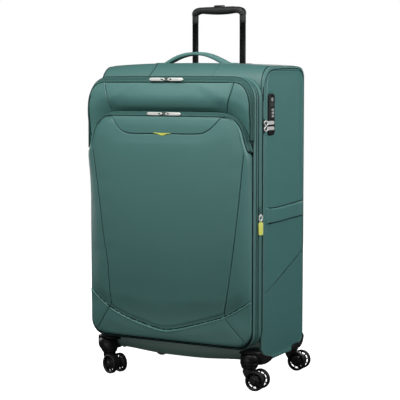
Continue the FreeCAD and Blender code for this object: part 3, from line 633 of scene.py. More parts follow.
# the wrap: front, top, back and underside in one sewn skin
stations = []
for a in np.radians([90, 62, 36, 14]):
    stations.append((-225 + 3.2 - 3.2 * math.sin(a), 3.2 - 3.2 * math.cos(a)))
xs_mid = list(np.linspace(-221.8, 221.8, 62))
stations += [(x, 0.0) for x in xs_mid]
for a in np.radians([14, 36, 62, 90]):
    stations.append((225 - 3.2 + 3.2 * math.sin(a), 3.2 - 3.2 * math.cos(a)))
loops = []
for x, d in stations:
    q = full_loop(x, d)
    loops.append(np.column_stack([np.full(len(q), x), q]))
W = np.array(loops)                       # stations x loop x 3
NW = W.shape[1]
# slight slack in the fabric of the top and the back
nz = hash_noise(W[..., 0], W[..., 2] + W[..., 1], 3, 0.018)
inner_part = ss((218 - np.abs(W[..., 0])) / 40.0)
back = (W[..., 1] > Y1 - 1) & (W[..., 2] > 100) & (W[..., 2] < 745)
W[..., 1] += np.where(back, 1.1 * nz * inner_part - 0.4 * inner_part, 0)
under = (W[..., 2] < 80) & (W[..., 1] > -60) & (W[..., 1] < 130)
W[..., 2] += np.where(under, 1.6 * hash_noise(W[..., 0], W[..., 1] * 2.2, 5, 0.030) * inner_part, 0)


def cut_front(grid, inset, ylim):
    """Faces of the front left out inside the mouth, and their border moved on to the mouth's edge."""
    nu, nv = grid.shape[:2]
    edge = loop_at(-inset)
    d = np.full((nu, nv), 1e9)
    front = grid[..., 1] < ylim
    idx = np.argwhere(front)
    for i, j in idx:
        p = grid[i, j, [0, 2]]
        k = int(np.argmin(((edge - p) ** 2).sum(1)))
        d[i, j] = (p - edge[k]) @ LNOR[k]
    inside = front & (d < 0)
    keep = []
    for f in grid_faces(nu, nv, cv=True):
        ids = [(q // nv, q % nv) for q in f]
        ins = [inside[i, j] for i, j in ids]
        if all(ins):
            continue
        keep.append(f)
    used = set(q for f in keep for q in f)
    for i, j in np.argwhere(inside):
        if i * nv + j in used:
            p = grid[i, j, [0, 2]]
            k = int(np.argmin(((edge - p) ** 2).sum(1)))
            grid[i, j, 0], grid[i, j, 2] = edge[k]
    return keep


def compact(v, f):
    used = sorted(set(i for q in f for i in q))
    m = {o: n for n, o in enumerate(used)}
    return np.asarray(v).reshape(-1, 3)[used], [tuple(m[i] for i in q) for q in f]


wf = cut_front(W, 12.0, Y0 + 2.2)
# and an opening in the top for the trolley's well
HX, HY0, HY1 = 88.4, 111.6, 140.6
well = (np.abs(W[..., 0]) < HX) & (W[..., 1] > HY0) & (W[..., 1] < HY1) & (W[..., 2] > 770.0)
wf2 = []
for q in wf:
    if not all(well[k // NW, k % NW] for k in q):
        wf2.append(q)
used_w = set(k for q in wf2 for k in q)
for i, j in np.argwhere(well):
    if i * NW + j in used_w:
        x, y = W[i, j, 0], W[i, j, 1]
        gaps = [(HX - abs(x), 0), (y - HY0, 1), (HY1 - y, 2)]
        g = min(gaps)[1]
        if g == 0:
            W[i, j, 0] = math.copysign(HX, x)
        elif g == 1:
            W[i, j, 1] = HY0
        else:
            W[i, j, 1] = HY1
wf = wf2
v, f = compact(W, wf)
wv = np.asarray(v, float)
# faces of the front's bottom band and underside take the lighter copy: painted bounce light
wrap_painted_bounce_faces = []
for q in f:
    c = wv[list(q)].mean(0)
    wrap_painted_bounce_faces.append(1 if (c[1] < 20.0 and c[2] < 116.0 and abs(c[0]) < 223.0) else 0)
tub_wrap = make("tub_wrap", v, f, [M_WRAP_PAINTED_SHADE, M_PAN_PAINTED_BOUNCE], "case", face_mat=wrap_painted_bounce_faces)
sol = tub_wrap.modifiers.new("thickness", "SOLIDIFY")
sol.thickness, sol.offset = 0.0022, -1.0
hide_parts("tub_shell")


# side panels, with the inner stitched line and the long diagonal seam
NB = 14                                   # points of the bottom and of the top in each half outline


SIDE_FRONT = 5.0


def band_width(a):
    return 1.0 + (0.30 + 0.75 * ss((a[:, 1] - 560.0) / 120.0)) * ss((Y0 + 46 - a[:, 0]) / 30.0) * ss((a[:, 1] - 75) / 20.0)


def side_panel(sign):
    depth = [0.0, 1.6, 3.4, 5.2, 6.6, 7.4, 8.1, 8.6, 9.1, 9.8, 10.8, 12.4, 15.0, 19.0]
    seam = {8.6: -1.5, 8.1: -0.9, 9.1: -0.9, 7.4: 0.35, 9.8: 0.25, 5.2: 0.95, 3.4: 0.95, 1.6: 0.5, 6.6: 0.8}
    a0, b0 = chains(225.0, 0.0, False, SIDE_FRONT)
    rings = []
    for d in depth:
        a, b = chains(225.0, d, False, SIDE_FRONT)
        # the band is wider down the front edge, and most at its top
        wide = band_width(a)
        a = a0 + (a - a0) * wide[:, None]
        q = np.vstack([a, b[::-1][1:-1]])
        rings.append(np.column_stack([np.full(len(q), 225.0 + seam.get(d, 0.0) - 0.6 * (d == 0)), q]))
    nl = len(rings[0])
    V = [np.array(rings).reshape(-1, 3)]
    f = grid_faces(len(depth), nl, cv=True)
    base = (len(depth) - 1) * nl
    nr = NCH - 2 * NB

    def aid(k):
        return base + k

    def bid(k):
        return base + (k if k in (0, NCH - 1) else 2 * NCH - 2 - k)

    R = rings[-1]
    nc = 2 * NB + 1
    ids = np.full((nc, nr), -1)
    ids[:, 0] = [aid(NB - c) for c in range(NB + 1)] + [bid(c) for c in range(1, NB + 1)]
    t0 = NCH - 1 - NB
    ids[:, -1] = [aid(t0 + c) for c in range(NB + 1)] + [bid(NCH - 1 - c) for c in range(1, NB + 1)]
    ids[0, :] = [aid(NB + r) for r in range(nr)]
    ids[-1, :] = [bid(NB + r) for r in range(nr)]
    pos = np.zeros((nc, nr, 3))
    for i in range(nc):
        for r in (0, nr - 1):
            pos[i, r] = R[ids[i, r] - base]
    for r in range(nr):
        pos[0, r], pos[-1, r] = R[ids[0, r] - base], R[ids[-1, r] - base]

    def frac(r):
        y = pos[:, r, 1]
        return (y - y[0]) / (y[-1] - y[0])

    ub, ut = frac(0), frac(nr - 1)
    n = len(V[0])
    extra = []
    for r in range(1, nr - 1):
        zt = r / (nr - 1.0)
        u = ub * (1 - zt) + ut * zt
        for i in range(1, nc - 1):
            pos[i, r] = pos[0, r] * (1 - u[i]) + pos[-1, r] * u[i]
            ids[i, r] = n + len(extra)
            extra.append(pos[i, r])
    V.append(np.array(extra))
    V = np.concatenate(V)
    for i in range(nc - 1):
        for r in range(nr - 1):
            f.append((ids[i, r], ids[i + 1, r], ids[i + 1, r + 1], ids[i, r + 1]))
    y, z = V[:, 1].copy(), V[:, 2].copy()
    e = np.minimum(np.minimum(y - Y0 - 12, Y1 - 8 - y), np.minimum(z - Z0 - 8, 760 - z))
    # the panel rises softly in the middle, and slackens a little
    V[:, 0] += 1.9 * ss(e / 46.0) + 0.45 * hash_noise(y, z, 11, 0.022) * ss(e / 25.0)
    # rows follow the diagonal seam
    V[:, 2] += 0.373 * (y - YM) * bump1((z - 266.4) / 150.0) * ss(e / 14.0)
    zs = 266.4 + 0.373 * (y - YM)
    dist = (V[:, 2] - zs) * math.cos(math.atan(0.373))
    along = (y > Y0 + 9) & (y < Y1 - 9)
    V[:, 0] += np.where(along, -1.25 * np.exp(-(dist / 1.15) ** 2) + 0.35 * np.exp(-((dist - 4.0) / 2.4) ** 2), 0)
    if sign < 0:
        V[:, 0] *= -1
    name = "side_panel_right" if sign > 0 else "side_panel_left"
    if sign > 0:
        # the lock is let into the panel
        f = [q for q in f if not (-53.5 < V[list(q), 1].mean() < -30.5 and 613 < V[list(q), 2].mean() < 698)]
        V, f = compact(V, f)
    ob = make(name, V, f, M_SIDE, "case")
    s = ob.modifiers.new("thickness", "SOLIDIFY")
    s.thickness, s.offset = 0.0016, -1.0


side_panel(1)
side_panel(-1)

# piping on the two rims of the tub, and its dark seam
for sign, tag in ((1, "right"), (-1, "left")):
    q = full_loop(223.4, 0.9, False, SIDE_FRONT)
    path = np.column_stack([np.full(len(q), sign * 223.9), q])
    c = np.array([0, YM, 420.0])
    nrm = path - np.array([0, 0, 0])
    nn = np.column_stack([np.full(len(q), sign * 1.0), np.zeros(len(q)), np.zeros(len(q))])
    thick = 1.75 + 0.9 * ss((Y0 + 14 - q[:, 0]) / 6.0) * ss((q[:, 1] - 110) / 30.0)
    v, f = tube(path, nn, thick, 8, closed=True)
    ob = make("tub_piping_" + tag, v, f, M_PIPE, "case")
    q = full_loop(221.0, -0.15, False)
    path = np.column_stack([np.full(len(q), sign * 221.0), q])
    v, f = tube(path, nn, 1.0, 6, closed=True)
    ob = make("tub_piping_seam_" + tag, v, f, M_GAP, "case")

# threads of the inner line on the side panels, and along the diagonal seam
for sign, tag in ((1, "right"), (-1, "left")):
    pile = Pile()
    for half in (0, 1):
        a = chains(225.0, 10.6, False, SIDE_FRONT)[half]
        a0 = chains(225.0, 0.0, False, SIDE_FRONT)[half]
        if half == 0:
            wide = band_width(a)
            a = a0 + (a - a0) * wide[:, None]
        path = np.column_stack([np.full(NCH, sign * 225.15), a])
        stitches(pile, path, (sign, 0, 0), 4.4, 3.0, 0.36)
    yy = np.linspace(Y0 + 16, Y1 - 12, 60)
    path = np.column_stack([np.full(60, sign * 227.2), yy, 266.4 + 0.373 * (yy - YM) + 2.4])
    stitches(pile, path, (sign, 0, 0), 4.4, 3.0, 0.34)
    ob = pile.make("side_stitches_" + tag, M_THREAD, "case")

# lining of the luggage space
lin = []
for x in list(np.linspace(-213.5, 213.5, 40)):
    a, b = chains(x, 10.0, False)
    q = np.vstack([a, b[::-1][1:-1]])
    q[:, 0] = np.minimum(q[:, 0], 106.5)
    q[:, 1] = np.clip(q[:, 1], 74.5, 748.0)
    lin.append(np.column_stack([np.full(len(q), x), q]))
L = np.array(lin)
L[..., 2] += 0.8 * hash_noise(L[..., 0], L[..., 1], 21, 0.05) * (L[..., 2] < 76)
L[..., 1] += 1.0 * hash_noise(L[..., 0], L[..., 2], 22, 0.03) * (L[..., 1] > 106)
lf = cut_front(L, 14.5, Y0 + 12.8)
base = L.reshape(-1, 3)
# close the two ends
nv = L.shape[1]
ends = []
na = NCH
for i in (0, L.shape[0] - 1):
    for k in range(na - 1):
        a0, a1 = i * nv + k, i * nv + k + 1
        b0 = i * nv + (nv - k) % nv if k > 0 else i * nv
        b1 = i * nv + (nv - k - 1) % nv
        if k == 0:
            b0 = a0
        quad = [a0, a1, b1, b0]
        uniq = []
        for q in quad:
            if q not in uniq:
                uniq.append(q)
        if len(uniq) >= 3:
            ends.append(tuple(uniq))
v, f = compact(base, lf + ends)
lining = make("tub_lining", v, f, M_LINING, "case", sharp=40)

# binding round the mouth of the tub, and the tub's side of the main zip
v, f = ring_closed([(-9.0, -84.4), (-9.6, -85.3), (-12.6, -85.6), (-15.4, -85.2), (-16.8, -83.2), (-16.6, -76.0),
                    (-15.6, -75.0), (-14.4, -76.0), (-14.2, -81.0), (-12.0, -82.6), (-9.4, -83.4)])
ob = make("mouth_binding", v, f, M_PIPE, "case")
v, f = ring_closed([(0.2, -84.6), (0.1, -85.3), (-0.8, -85.9), (-3.2, -86.1), (-6.4, -86.0), (-7.2, -85.4), (-6.4, -84.4), (-1.0, -84.0)])
ob = make("main_zip_tape_case", v, f, M_TAPE, "case")
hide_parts("main_zip_chain")


# ------------------------------------------------------------------ lid ring, expansion zip and front shell
def disc(inset, y, rings=16, seed=0, slack=0.0, t_end=0.04):
    """A panel inside the outline, made of rings towards its middle."""
    q = loop_at(-inset)
    c = np.array([0.0, 0.5 * (LID_Z0 + LID_ZT)])
    ts = np.linspace(1, t_end, rings)
    # rings shrink towards a vertical line, so that the quads stay even
    v = []
    for t in ts:
        x = c[0] + (q[:, 0] - c[0]) * t
        z = c[1] + (q[:, 1] - c[1]) * t
        yy = y + slack * hash_noise(x, z, seed, 0.03) * (1 - t ** 6)
        v.append(np.column_stack([x, yy, z]))
    v = np.array(v)
    f = grid_faces(rings, NL, cv=True)
    f.append(tuple(range((rings - 1) * NL, rings * NL)))
    return v.reshape(-1, 3), f


v, f = ring_closed([(-0.9, -87.4), (-0.5, -88.5), (0.35, -89.8), (0.85, -92.4), (1.0, -95.2), (0.8, -98.0), (0.1, -100.4), (-0.9, -101.6),
                    (-2.6, -102.0), (-4.4, -101.4), (-4.6, -95.0), (-4.4, -88.4), (-2.8, -87.4)])
ob = make("lid_band", v, f, M_FAB, "lid", sharp=50)
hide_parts("lid_ring")
p, n = ring_path(-0.75, -88.2)
v, f = tube(p, n, 1.75, 8, closed=True)
ob = make("main_zip_flap_lid", v, f, M_FAB, "lid")
v, f = ring_closed([(-3.0, -86.2), (0.25, -86.2), (0.42, -84.0), (0.45, -80.6), (-2.5, -79.0), (-6.0, -76.0), (-6.0, -84.0)])
gv = np.asarray(v, float)
# faces of the gap's bottom run take the lighter seam colour: painted light on the gap under the lid
gap_bottom_painted_light = [1 if gv[list(q)][:, 2].mean() < 112.0 else 0 for q in f]
ob = make("main_zip_gap", v, f, [M_GAP, M_SHADE], "case", sharp=50, face_mat=gap_bottom_painted_light)
v, f = ring_closed([(-1.9, -85.9), (-1.6, -86.4), (-1.9, -87.2), (-3.4, -87.4), (-4.8, -86.8), (-3.6, -86.0)])
ob = make("main_zip_tape_lid", v, f, M_GAP, "lid")

# expansion zip: two tapes, two rows of coil
v, f = ring_closed([(-1.1, -101.3), (-1.15, -103.9), (-2.0, -104.05), (-2.2, -101.3)])
ob = make("expansion_tape_lid", v, f, M_TAPE, "lid", smooth=False)
v, f = ring_closed([(-1.15, -104.25), (-1.1, -107.8), (-2.2, -107.8), (-2.0, -104.4)])
ob = make("expansion_tape_front", v, f, M_TAPE, "front", smooth=False)
pile = Pile()
p, n = ring_path(-0.95, -103.15)
teeth(pile, p, n, 2.3, 1.7, 1.5, 0.85, closed=True, stagger=0.0)
ob = pile.make("expansion_coil_lid", M_COIL, "lid", smooth=False)
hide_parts("expansion_zip_chain")
pile = Pile()
p, n = ring_path(-0.95, -105.1)
p = np.roll(p, 0, 0)
q = resample(p, 1.15, True)
teeth(pile, np.roll(q, 1, 0), np.array([n[int(np.argmin(((p - a) ** 2).sum(1)))] for a in np.roll(q, 1, 0)]), 2.3, 1.7, 1.5, 0.85, closed=True, stagger=0.0)
ob = pile.make("expansion_coil_front", M_COIL, "front", smooth=False)

# gusset that unfolds when the case is expanded
prof = [(-2.3 - 0.25 * math.sin(i * math.pi / 3), y) for i, y in enumerate(np.linspace(-101.2, -108.0, 19))]
prof += [(-3.6, y) for y in np.linspace(-108.0, -101.2, 19)]
v, f = ring_closed(prof)
gusset = make("expansion_gusset", v, f, M_FAB, None)
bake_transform(gusset)

# front shell: a band on each side of the second piping, and the front panel under the pockets
v, f = ring_closed([(-1.3, -107.0), (-0.5, -107.7), (0.25, -109.2), (0.35, -110.9), (-0.3, -112.6), (-1.4, -113.6), (-3.2, -113.8),
                    (-4.6, -112.0), (-4.6, -108.0), (-3.0, -107.0)])
ob = make("front_band_back", v, f, M_FAB, "front", sharp=50)
front_prof = [(-1.5, -116.4), (-0.5, -117.0), (0.5, -118.8), (0.95, -121.6), (0.9, -124.2), (0.2, -126.4), (-1.1, -127.8), (-2.4, -128.9),
              (-4.4, -129.4), (-8.0, -129.6), (-14.0, -129.6), (-22.0, -129.6)]
v1, f1 = ring(front_prof)
v2, f2 = disc(22.0, -129.6, 14, 31, 0.0)
v3, f3 = disc(22.0, -127.6, 14, 31, 0.0)
back_prof = [(-22.0, -127.6), (-8.0, -127.4), (-5.6, -125.2), (-5.0, -121.0), (-5.0, -116.8), (-3.2, -116.2)]
v4, f4 = ring(back_prof)
pile = Pile()
pile.add(v1, f1)
pile.add(v2, f2)
ob = pile.make("front_panel", M_FAB, "front", sharp=50)
s = ob.modifiers.new("thickness", "SOLIDIFY")
s.thickness, s.offset = 0.0018, -1.0
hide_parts("front_shell")

for name, d, y, r, mat, body, sides in (
        ("front_piping", -1.7, -129.2, 2.35, M_PIPE, "front", 10),
        ("front_piping_seam_edge", -1.3, -132.3, 1.3, M_GAP, "front", 8),
        ("front_piping_seam", -4.5, -130.4, 1.6, M_GAP, "front", 8),
        ("second_piping", -1.4, -118.4, 1.7, M_PIPE, "front", 10),
        ("second_piping_seam", -0.7, -115.6, 1.3, M_GAP, "front", 6),
        ("zip_seam_front", -0.75, -107.0, 0.5, M_GAP, "front", 6),
        ("zip_seam_lid", -0.65, -101.5, 0.5, M_GAP, "lid", 6)):
    p, n = ring_path(d, y)
    v, f = tube(p, n, r, sides, closed=True)
    ob = make(name, v, f, mat, body)

# lining inside the lid
v, f = disc(8.0, -126.4, 18, 41, 1.4)
w = v.copy()
pr = [(-8.0, -126.4), (-6.6, -124.6), (-6.0, -120.0), (-5.8, -110.0), (-5.7, -105.6)]
v2, f2 = ring(pr)
pile = Pile()
pile.add(v, f)
pile.add(v2, f2)
ob = pile.make("lid_lining", M_LINING, "front", sharp=60)
s = ob.modifiers.new("thickness", "SOLIDIFY")
s.thickness, s.offset = 0.0008, 0.0
prof = [(-5.7, -88.6), (-5.7, -92.0), (-5.7, -96.0), (-5.7, -100.0), (-5.7, -103.0), (-6.5, -103.0), (-6.5, -88.6)]
v, f = ring_closed(prof)
ob = make("lid_ring_lining", v, f, M_LINING, "lid", sharp=60)
prof = [(-6.6, y) for y in np.linspace(-101.5, -107.5, 15)] + [(-7.3, y) for y in np.linspace(-107.5, -101.5, 15)]
v, f = ring_closed(prof)
ob = make("lid_gusset_lining", v, f, M_LINING, None)
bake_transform(ob)

# the fabric on which the lid opens, down the left edge
zz = np.linspace(152, 684, 60)
yy = np.linspace(-78.5, -94.5, 25)
out = np.zeros((25, 60, 3))
for i, y in enumerate(yy):
    h = 225.95 + 1.15 * math.exp(-((y + 86.3) / 3.6) ** 2)
    out[i, :, 0] = -(h + 0.12 * np.sin(zz * 0.05 + i * 0.3))
    out[i, :, 1] = y
    out[i, :, 2] = zz
inn = out.copy()
inn[..., 0] += 0.7
v = np.concatenate([out.reshape(-1, 3), inn.reshape(-1, 3)])
f = grid_faces(25, 60) + [tuple(reversed(q)) for q in grid_faces(25, 60, base=1500)]
for i in range(24):
    f.append((i * 60, (i + 1) * 60, 1500 + (i + 1) * 60, 1500 + i * 60))
    f.append((i * 60 + 59, 1500 + i * 60 + 59, 1500 + (i + 1) * 60 + 59, (i + 1) * 60 + 59))
for j in range(59):
    f.append((j, 1500 + j, 1500 + j + 1, j + 1))
    f.append((24 * 60 + j, 24 * 60 + j + 1, 1500 + 24 * 60 + j + 1, 1500 + 24 * 60 + j))
hinge = make("lid_hinge_fabric", v, f, M_FAB, None, sharp=50)
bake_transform(hinge)


# ------------------------------------------------------------------ pockets
def through(pts):
    a = np.array(sorted(pts, key=lambda q: q[1]), float)
    return lambda z: np.interp(z, a[:, 1], a[:, 0])


def smooth_through(pts, step=1.5):
    s = spline(pts, step)
    s = s[np.argsort(s[:, 1], kind="stable")]
    return lambda z: np.interp(z, s[:, 1], s[:, 0])


L_RIGHT = [(161, 651.0), (172, 649.6), (183, 645.6), (193, 636.5), (200, 626), (205.5, 612), (210, 594), (215.5, 577), (221.5, 559), (222.6, 548)]
L_LEFT = [(-154, 651.0), (-165, 649.6), (-176, 645), (-187, 636.5), (-196, 625.5), (-203, 611), (-208, 594), (-214, 577), (-221.5, 559), (-222.6, 548)]
BR = 41.0


def low_side(sign, pts):
    top = spline([(x, z) for x, z in pts], 1.2)
    arc = [(sign * (222.6 - BR + BR * math.cos(a)), 106.0 + BR - BR * math.sin(a)) for a in np.radians(np.linspace(0, 88, 40))]
    s = np.vstack([top, [(sign * 222.6, 300.0)], arc])
    s = s[np.argsort(s[:, 1], kind="stable")]
    return lambda z: np.interp(z, s[:, 1], s[:, 0])


LXR, LXL = low_side(1, L_RIGHT), low_side(-1, L_LEFT)
SEAM_R = smooth_through([(224, 100), (208, 119), (190, 138), (172, 158), (158.5, 175), (157, 182), (160, 196), (166, 225), (177, 290), (188.5, 370), (202, 480.5), (209, 545), (212.0, 575), (206, 610), (190, 640), (170, 660)])
SEAM_L = smooth_through([(-217, 100), (-206, 115), (-190, 137), (-175, 160), (-163.5, 176), (-157, 186), (-158.5, 215), (-165, 304), (-173, 347), (-188, 465), (-200, 545), (-205, 576), (-200, 612), (-186, 640), (-168, 660)])
VPTS = spline([(-240, 232), (-216, 214), (-190, 194), (-162.8, 178), (-129.9, 162), (-89.4, 149), (-41.8, 137.5), (-14, 132.4), (14.3, 135.4),
               (85.5, 155.0), (155, 178.5), (190, 198), (222, 219), (240, 231)], 2.0)
PPTS = spline([(-240, 656), (-165, 654), (-150, 651.2), (-146.4, 647.5), (-139, 636), (-131.4, 625.7), (-120, 616), (-104.9, 609.8), (-92, 608.6), (0, 609.4), (92, 610.4),
               (104, 612.2), (123.3, 621.8), (134, 631), (144, 641.5), (152.3, 649.6), (160, 653.2), (240, 656)], 2.0)


def vz(x):
    return np.interp(x, VPTS[:, 0], VPTS[:, 1])


def pz(x):
    return np.interp(x, PPTS[:, 0], PPTS[:, 1])


NEAR = [-9, -6, -4.2, -3.0, -2.1, -1.4, -0.8, -0.35, 0, 0.35, 0.8, 1.4, 2.1, 3.0, 4.2, 6, 9]


def low_grid():
    """Nodes of the lower pocket's face, X and Z, with lines of the grid on its seams."""
    # columns as (kind, value): knots are left edge, left seam, right seam, right edge
    cols = [("l", t) for t in np.r_[0, 0.006, 0.02, 0.045, 0.08, np.linspace(0.13, 0.86, 9)]]
    cols += [("L", d) for d in NEAR]
    cols += [("m", t) for t in np.linspace(0.035, 0.965, 58)]
    cols += [("R", d) for d in NEAR]
    cols += [("r", t) for t in np.r_[np.linspace(0.14, 0.87, 9), 0.92, 0.955, 0.98, 0.994, 1]]
    rows = [("b", t) for t in np.r_[0, 0.01, 0.03, 0.06, 0.10, np.linspace(0.17, 0.80, 7)]]
    rows += [("V", d) for d in NEAR + [11.0, 13.0, 15.5]]
    rows += [("m", t) for t in np.linspace(0.045, 0.965, 86)]
    rows += [("P", d) for d in NEAR[3:-3]]
    rows += [("t", t) for t in np.r_[np.linspace(0.15, 0.8, 7), 0.88, 0.94, 0.98, 1.0]]
    nc, nr = len(cols), len(rows)
    X = np.tile(np.linspace(-200, 200, nc)[:, None], (1, nr))
    Z = np.tile(np.linspace(110, 650, nr)[None, :], (nc, 1))
    for _ in range(14):
        xl, xr, sl, sr = LXL(Z), LXR(Z), SEAM_L(Z), SEAM_R(Z)
        sl = np.clip(sl, xl + 5.0, None)
        sr = np.clip(sr, None, xr - 5.0)
        Xn = np.zeros_like(X)
        for i, (k, t) in enumerate(cols):
            a, b = xl[i], xr[i]
            p, q = sl[i], sr[i]
            wl = np.minimum(9.0, (p - a) * 0.45) / 9.0
            wr = np.minimum(9.0, (b - q) * 0.45) / 9.0
            if k == "l":
                Xn[i] = a + (p - 9 * wl - a) * t
            elif k == "L":
                Xn[i] = p + t * (wl if t < 0 else 1.0)
            elif k == "m":
                Xn[i] = p + 9 + (q - 9 - p - 9) * t
            elif k == "R":
                Xn[i] = q + t * (wr if t > 0 else 1.0)
            else:
                Xn[i] = q + 9 * wr + (b - q - 9 * wr) * t
        Zn = np.zeros_like(Z)
        zb, zt = 106.0, 651.0
        v, p = vz(X), np.minimum(pz(X), 646.5)
        for j, (k, t) in enumerate(rows):
            if k == "b":
                Zn[:, j] = zb + (v[:, j] - 9 - zb) * t
            elif k == "V":
                Zn[:, j] = v[:, j] + t
            elif k == "m":
                Zn[:, j] = v[:, j] + 15.5 + (p[:, j] - 3.0 - v[:, j] - 15.5) * t
            elif k == "P":
                Zn[:, j] = p[:, j] + t * np.minimum(1.0, (zt - p[:, j]) / 4.6)
            else:
                lo = p[:, j] + 3.0 * np.minimum(1.0, (zt - p[:, j]) / 4.6)
                Zn[:, j] = lo + (zt - lo) * t
        X, Z = 0.4 * X + 0.6 * Xn, 0.4 * Z + 0.6 * Zn
    return X, Z


def groove(d, deep, half=1.1, lip=0.3, lipw=3.2):
    return -deep * np.exp(-(d / half) ** 2) + lip * np.exp(-((np.abs(d) - lipw) / (lipw * 0.6)) ** 2)


def low_depth(X, Z):
    """How far the lower pocket's face stands in front of the front panel (Y = -130)."""
    xl, xr = LXL(Z), LXR(Z)
    sl, sr = np.clip(SEAM_L(Z), xl + 5.0, None), np.clip(SEAM_R(Z), None, xr - 5.0)
    v = vz(X)
    # main panel: nearly flat, a little crowned both ways, tucking in above the V seam
    crown_x = 1.0 - ((X - 4) / 215.0) ** 2
    prof = np.interp(Z, [100, 130, 160, 210, 260, 340, 460, 560, 610, 632, 645, 651],
                     [9.0, 14.0, 18.5, 23.0, 25.2, 26.6, 27.4, 28.0, 28.4, 28.2, 27.2, 25.8])
    main = prof + 2.2 * crown_x - 1.4
    above = Z - v
    main = main - 3.4 * np.exp(-(above / 20.0) ** 2) * (above > 0) + 0.0
    # gussets outside the side seams fall back to the outline
    edge_y = np.interp(Z, [100, 150, 430, 500, 545, 575, 600, 660], [5.5, 7.0, 7.5, 12.0, 19.0, 23.0, 24.5, 25.5])
    tl = np.clip((sl - X) / np.maximum(sl - xl, 4.0), 0, 1)
    tr = np.clip((X - sr) / np.maximum(xr - sr, 4.0), 0, 1)
    tt = np.maximum(tl, tr)
    fall = 0.62 * tt + 0.38 * tt ** 2.4
    dep = main * (1 - fall) + edge_y * fall
    dep = dep + 2.4 * np.sin(np.pi * np.clip(tt, 0, 1)) * ss((above) / 40.0)
    # bottom panel, under the V seam: its own flatter plane
    below = ss((-above + 0.5) / 3.0)
    bz = np.clip((v - Z) / np.maximum(v - 106.0, 10.0), 0, 1)
    bot = np.interp(bz, [0, 0.15, 0.5, 0.85, 0.95, 1.0], [18.6, 18.4, 15.6, 11.0, 8.8, 6.6])
    side = np.maximum(np.clip((X - sr) / 60.0, 0, 1), np.clip((sl - X) / 60.0, 0, 1))
    bot = bot - 7.5 * side ** 1.2
    dep = dep * (1 - below) + np.minimum(bot, dep + 4.0) * below
    # rounding at the outline
    e = np.minimum(X - xl, xr - X)
    e = np.minimum(e, Z - 106.0)
    corner = np.hypot(np.clip(np.abs(X) - (222.6 - BR), 0, None), np.clip(106.0 + BR - Z, 0, None))
    incorner = (np.abs(X) > 222.6 - BR) & (Z < 106.0 + BR)
    e = np.where(incorner, BR - corner, e)
    e = np.clip(e, 0, None)
    top = Z > 560
    r = np.where(top, 3.5, 6.5)
    rim = np.sqrt(np.clip(1 - (1 - np.clip(e / r, 0, 1)) ** 2, 0, 1))
    dep = dep - (1 - rim) * np.where(top, 2.2, 4.2)
    # seams
    on_side = (Z < 640)
    dep = dep + np.where(on_side, groove(X - sr, 1.7) + groove(X - sl, 1.7), 0) - 1.1 * (np.exp(-((X - sr) / 9.0) ** 2) + np.exp(-((X - sl) / 9.0) ** 2)) * below
    dep = dep + groove(above, 2.3, 1.25, 0.0) + 1.0 * np.exp(-((above + 3.2) / 1.8) ** 2)
    dep = dep + (1.0 * np.exp(-((above - 12.0) / 4.4) ** 2) - 0.7 * np.exp(-((above - 5.5) / 3.2) ** 2)) * ss((166 - np.abs(X)) / 18.0)
    p = pz(X)
    inside = ss((153.5 - np.abs(X - 3)) / 5.0)
    dep = dep + inside * (groove(Z - p, 1.5, 1.0, 0.0) + 0.55 * ss((Z - p) / 2.2) - 0.1)
    dep = dep + 0.35 * hash_noise(X, Z, 51, 0.020) + 0.15 * hash_noise(X, Z, 52, 0.06)
    return dep


def close_bag(name, X, Z, D, mat, body, y_back=-130.3):
    """A closed bag: the face grid, a rim wall and a flat back."""
    nc, nr = X.shape
    face = np.stack([X, -130.0 - D, Z], -1).reshape(-1, 3)
    f = grid_faces(nc, nr)
    rim = [i * nr for i in range(nc)] + [(nc - 1) * nr + j for j in range(1, nr)] + [i * nr + nr - 1 for i in range(nc - 2, -1, -1)] + [j for j in range(nr - 2, 0, -1)]
    rv = face[rim]
    verts = [face]
    n = len(face)
    prev = rim
    for t in (0.35, 0.7, 1.0):
        w = rv.copy()
        w[:, 1] = rv[:, 1] * (1 - t) + y_back * t
        cx = np.array([w[:, 0].mean(), 0, w[:, 2].mean()])
        verts.append(w)
        ids = list(range(n, n + len(w)))
        for k in range(len(ids)):
            k2 = (k + 1) % len(ids)
            f.append((prev[k], ids[k], ids[k2], prev[k2]))
        prev = ids
        n += len(w)
    f.append(tuple(prev))
    return make(name, np.concatenate(verts), f, mat, body, sharp=62)


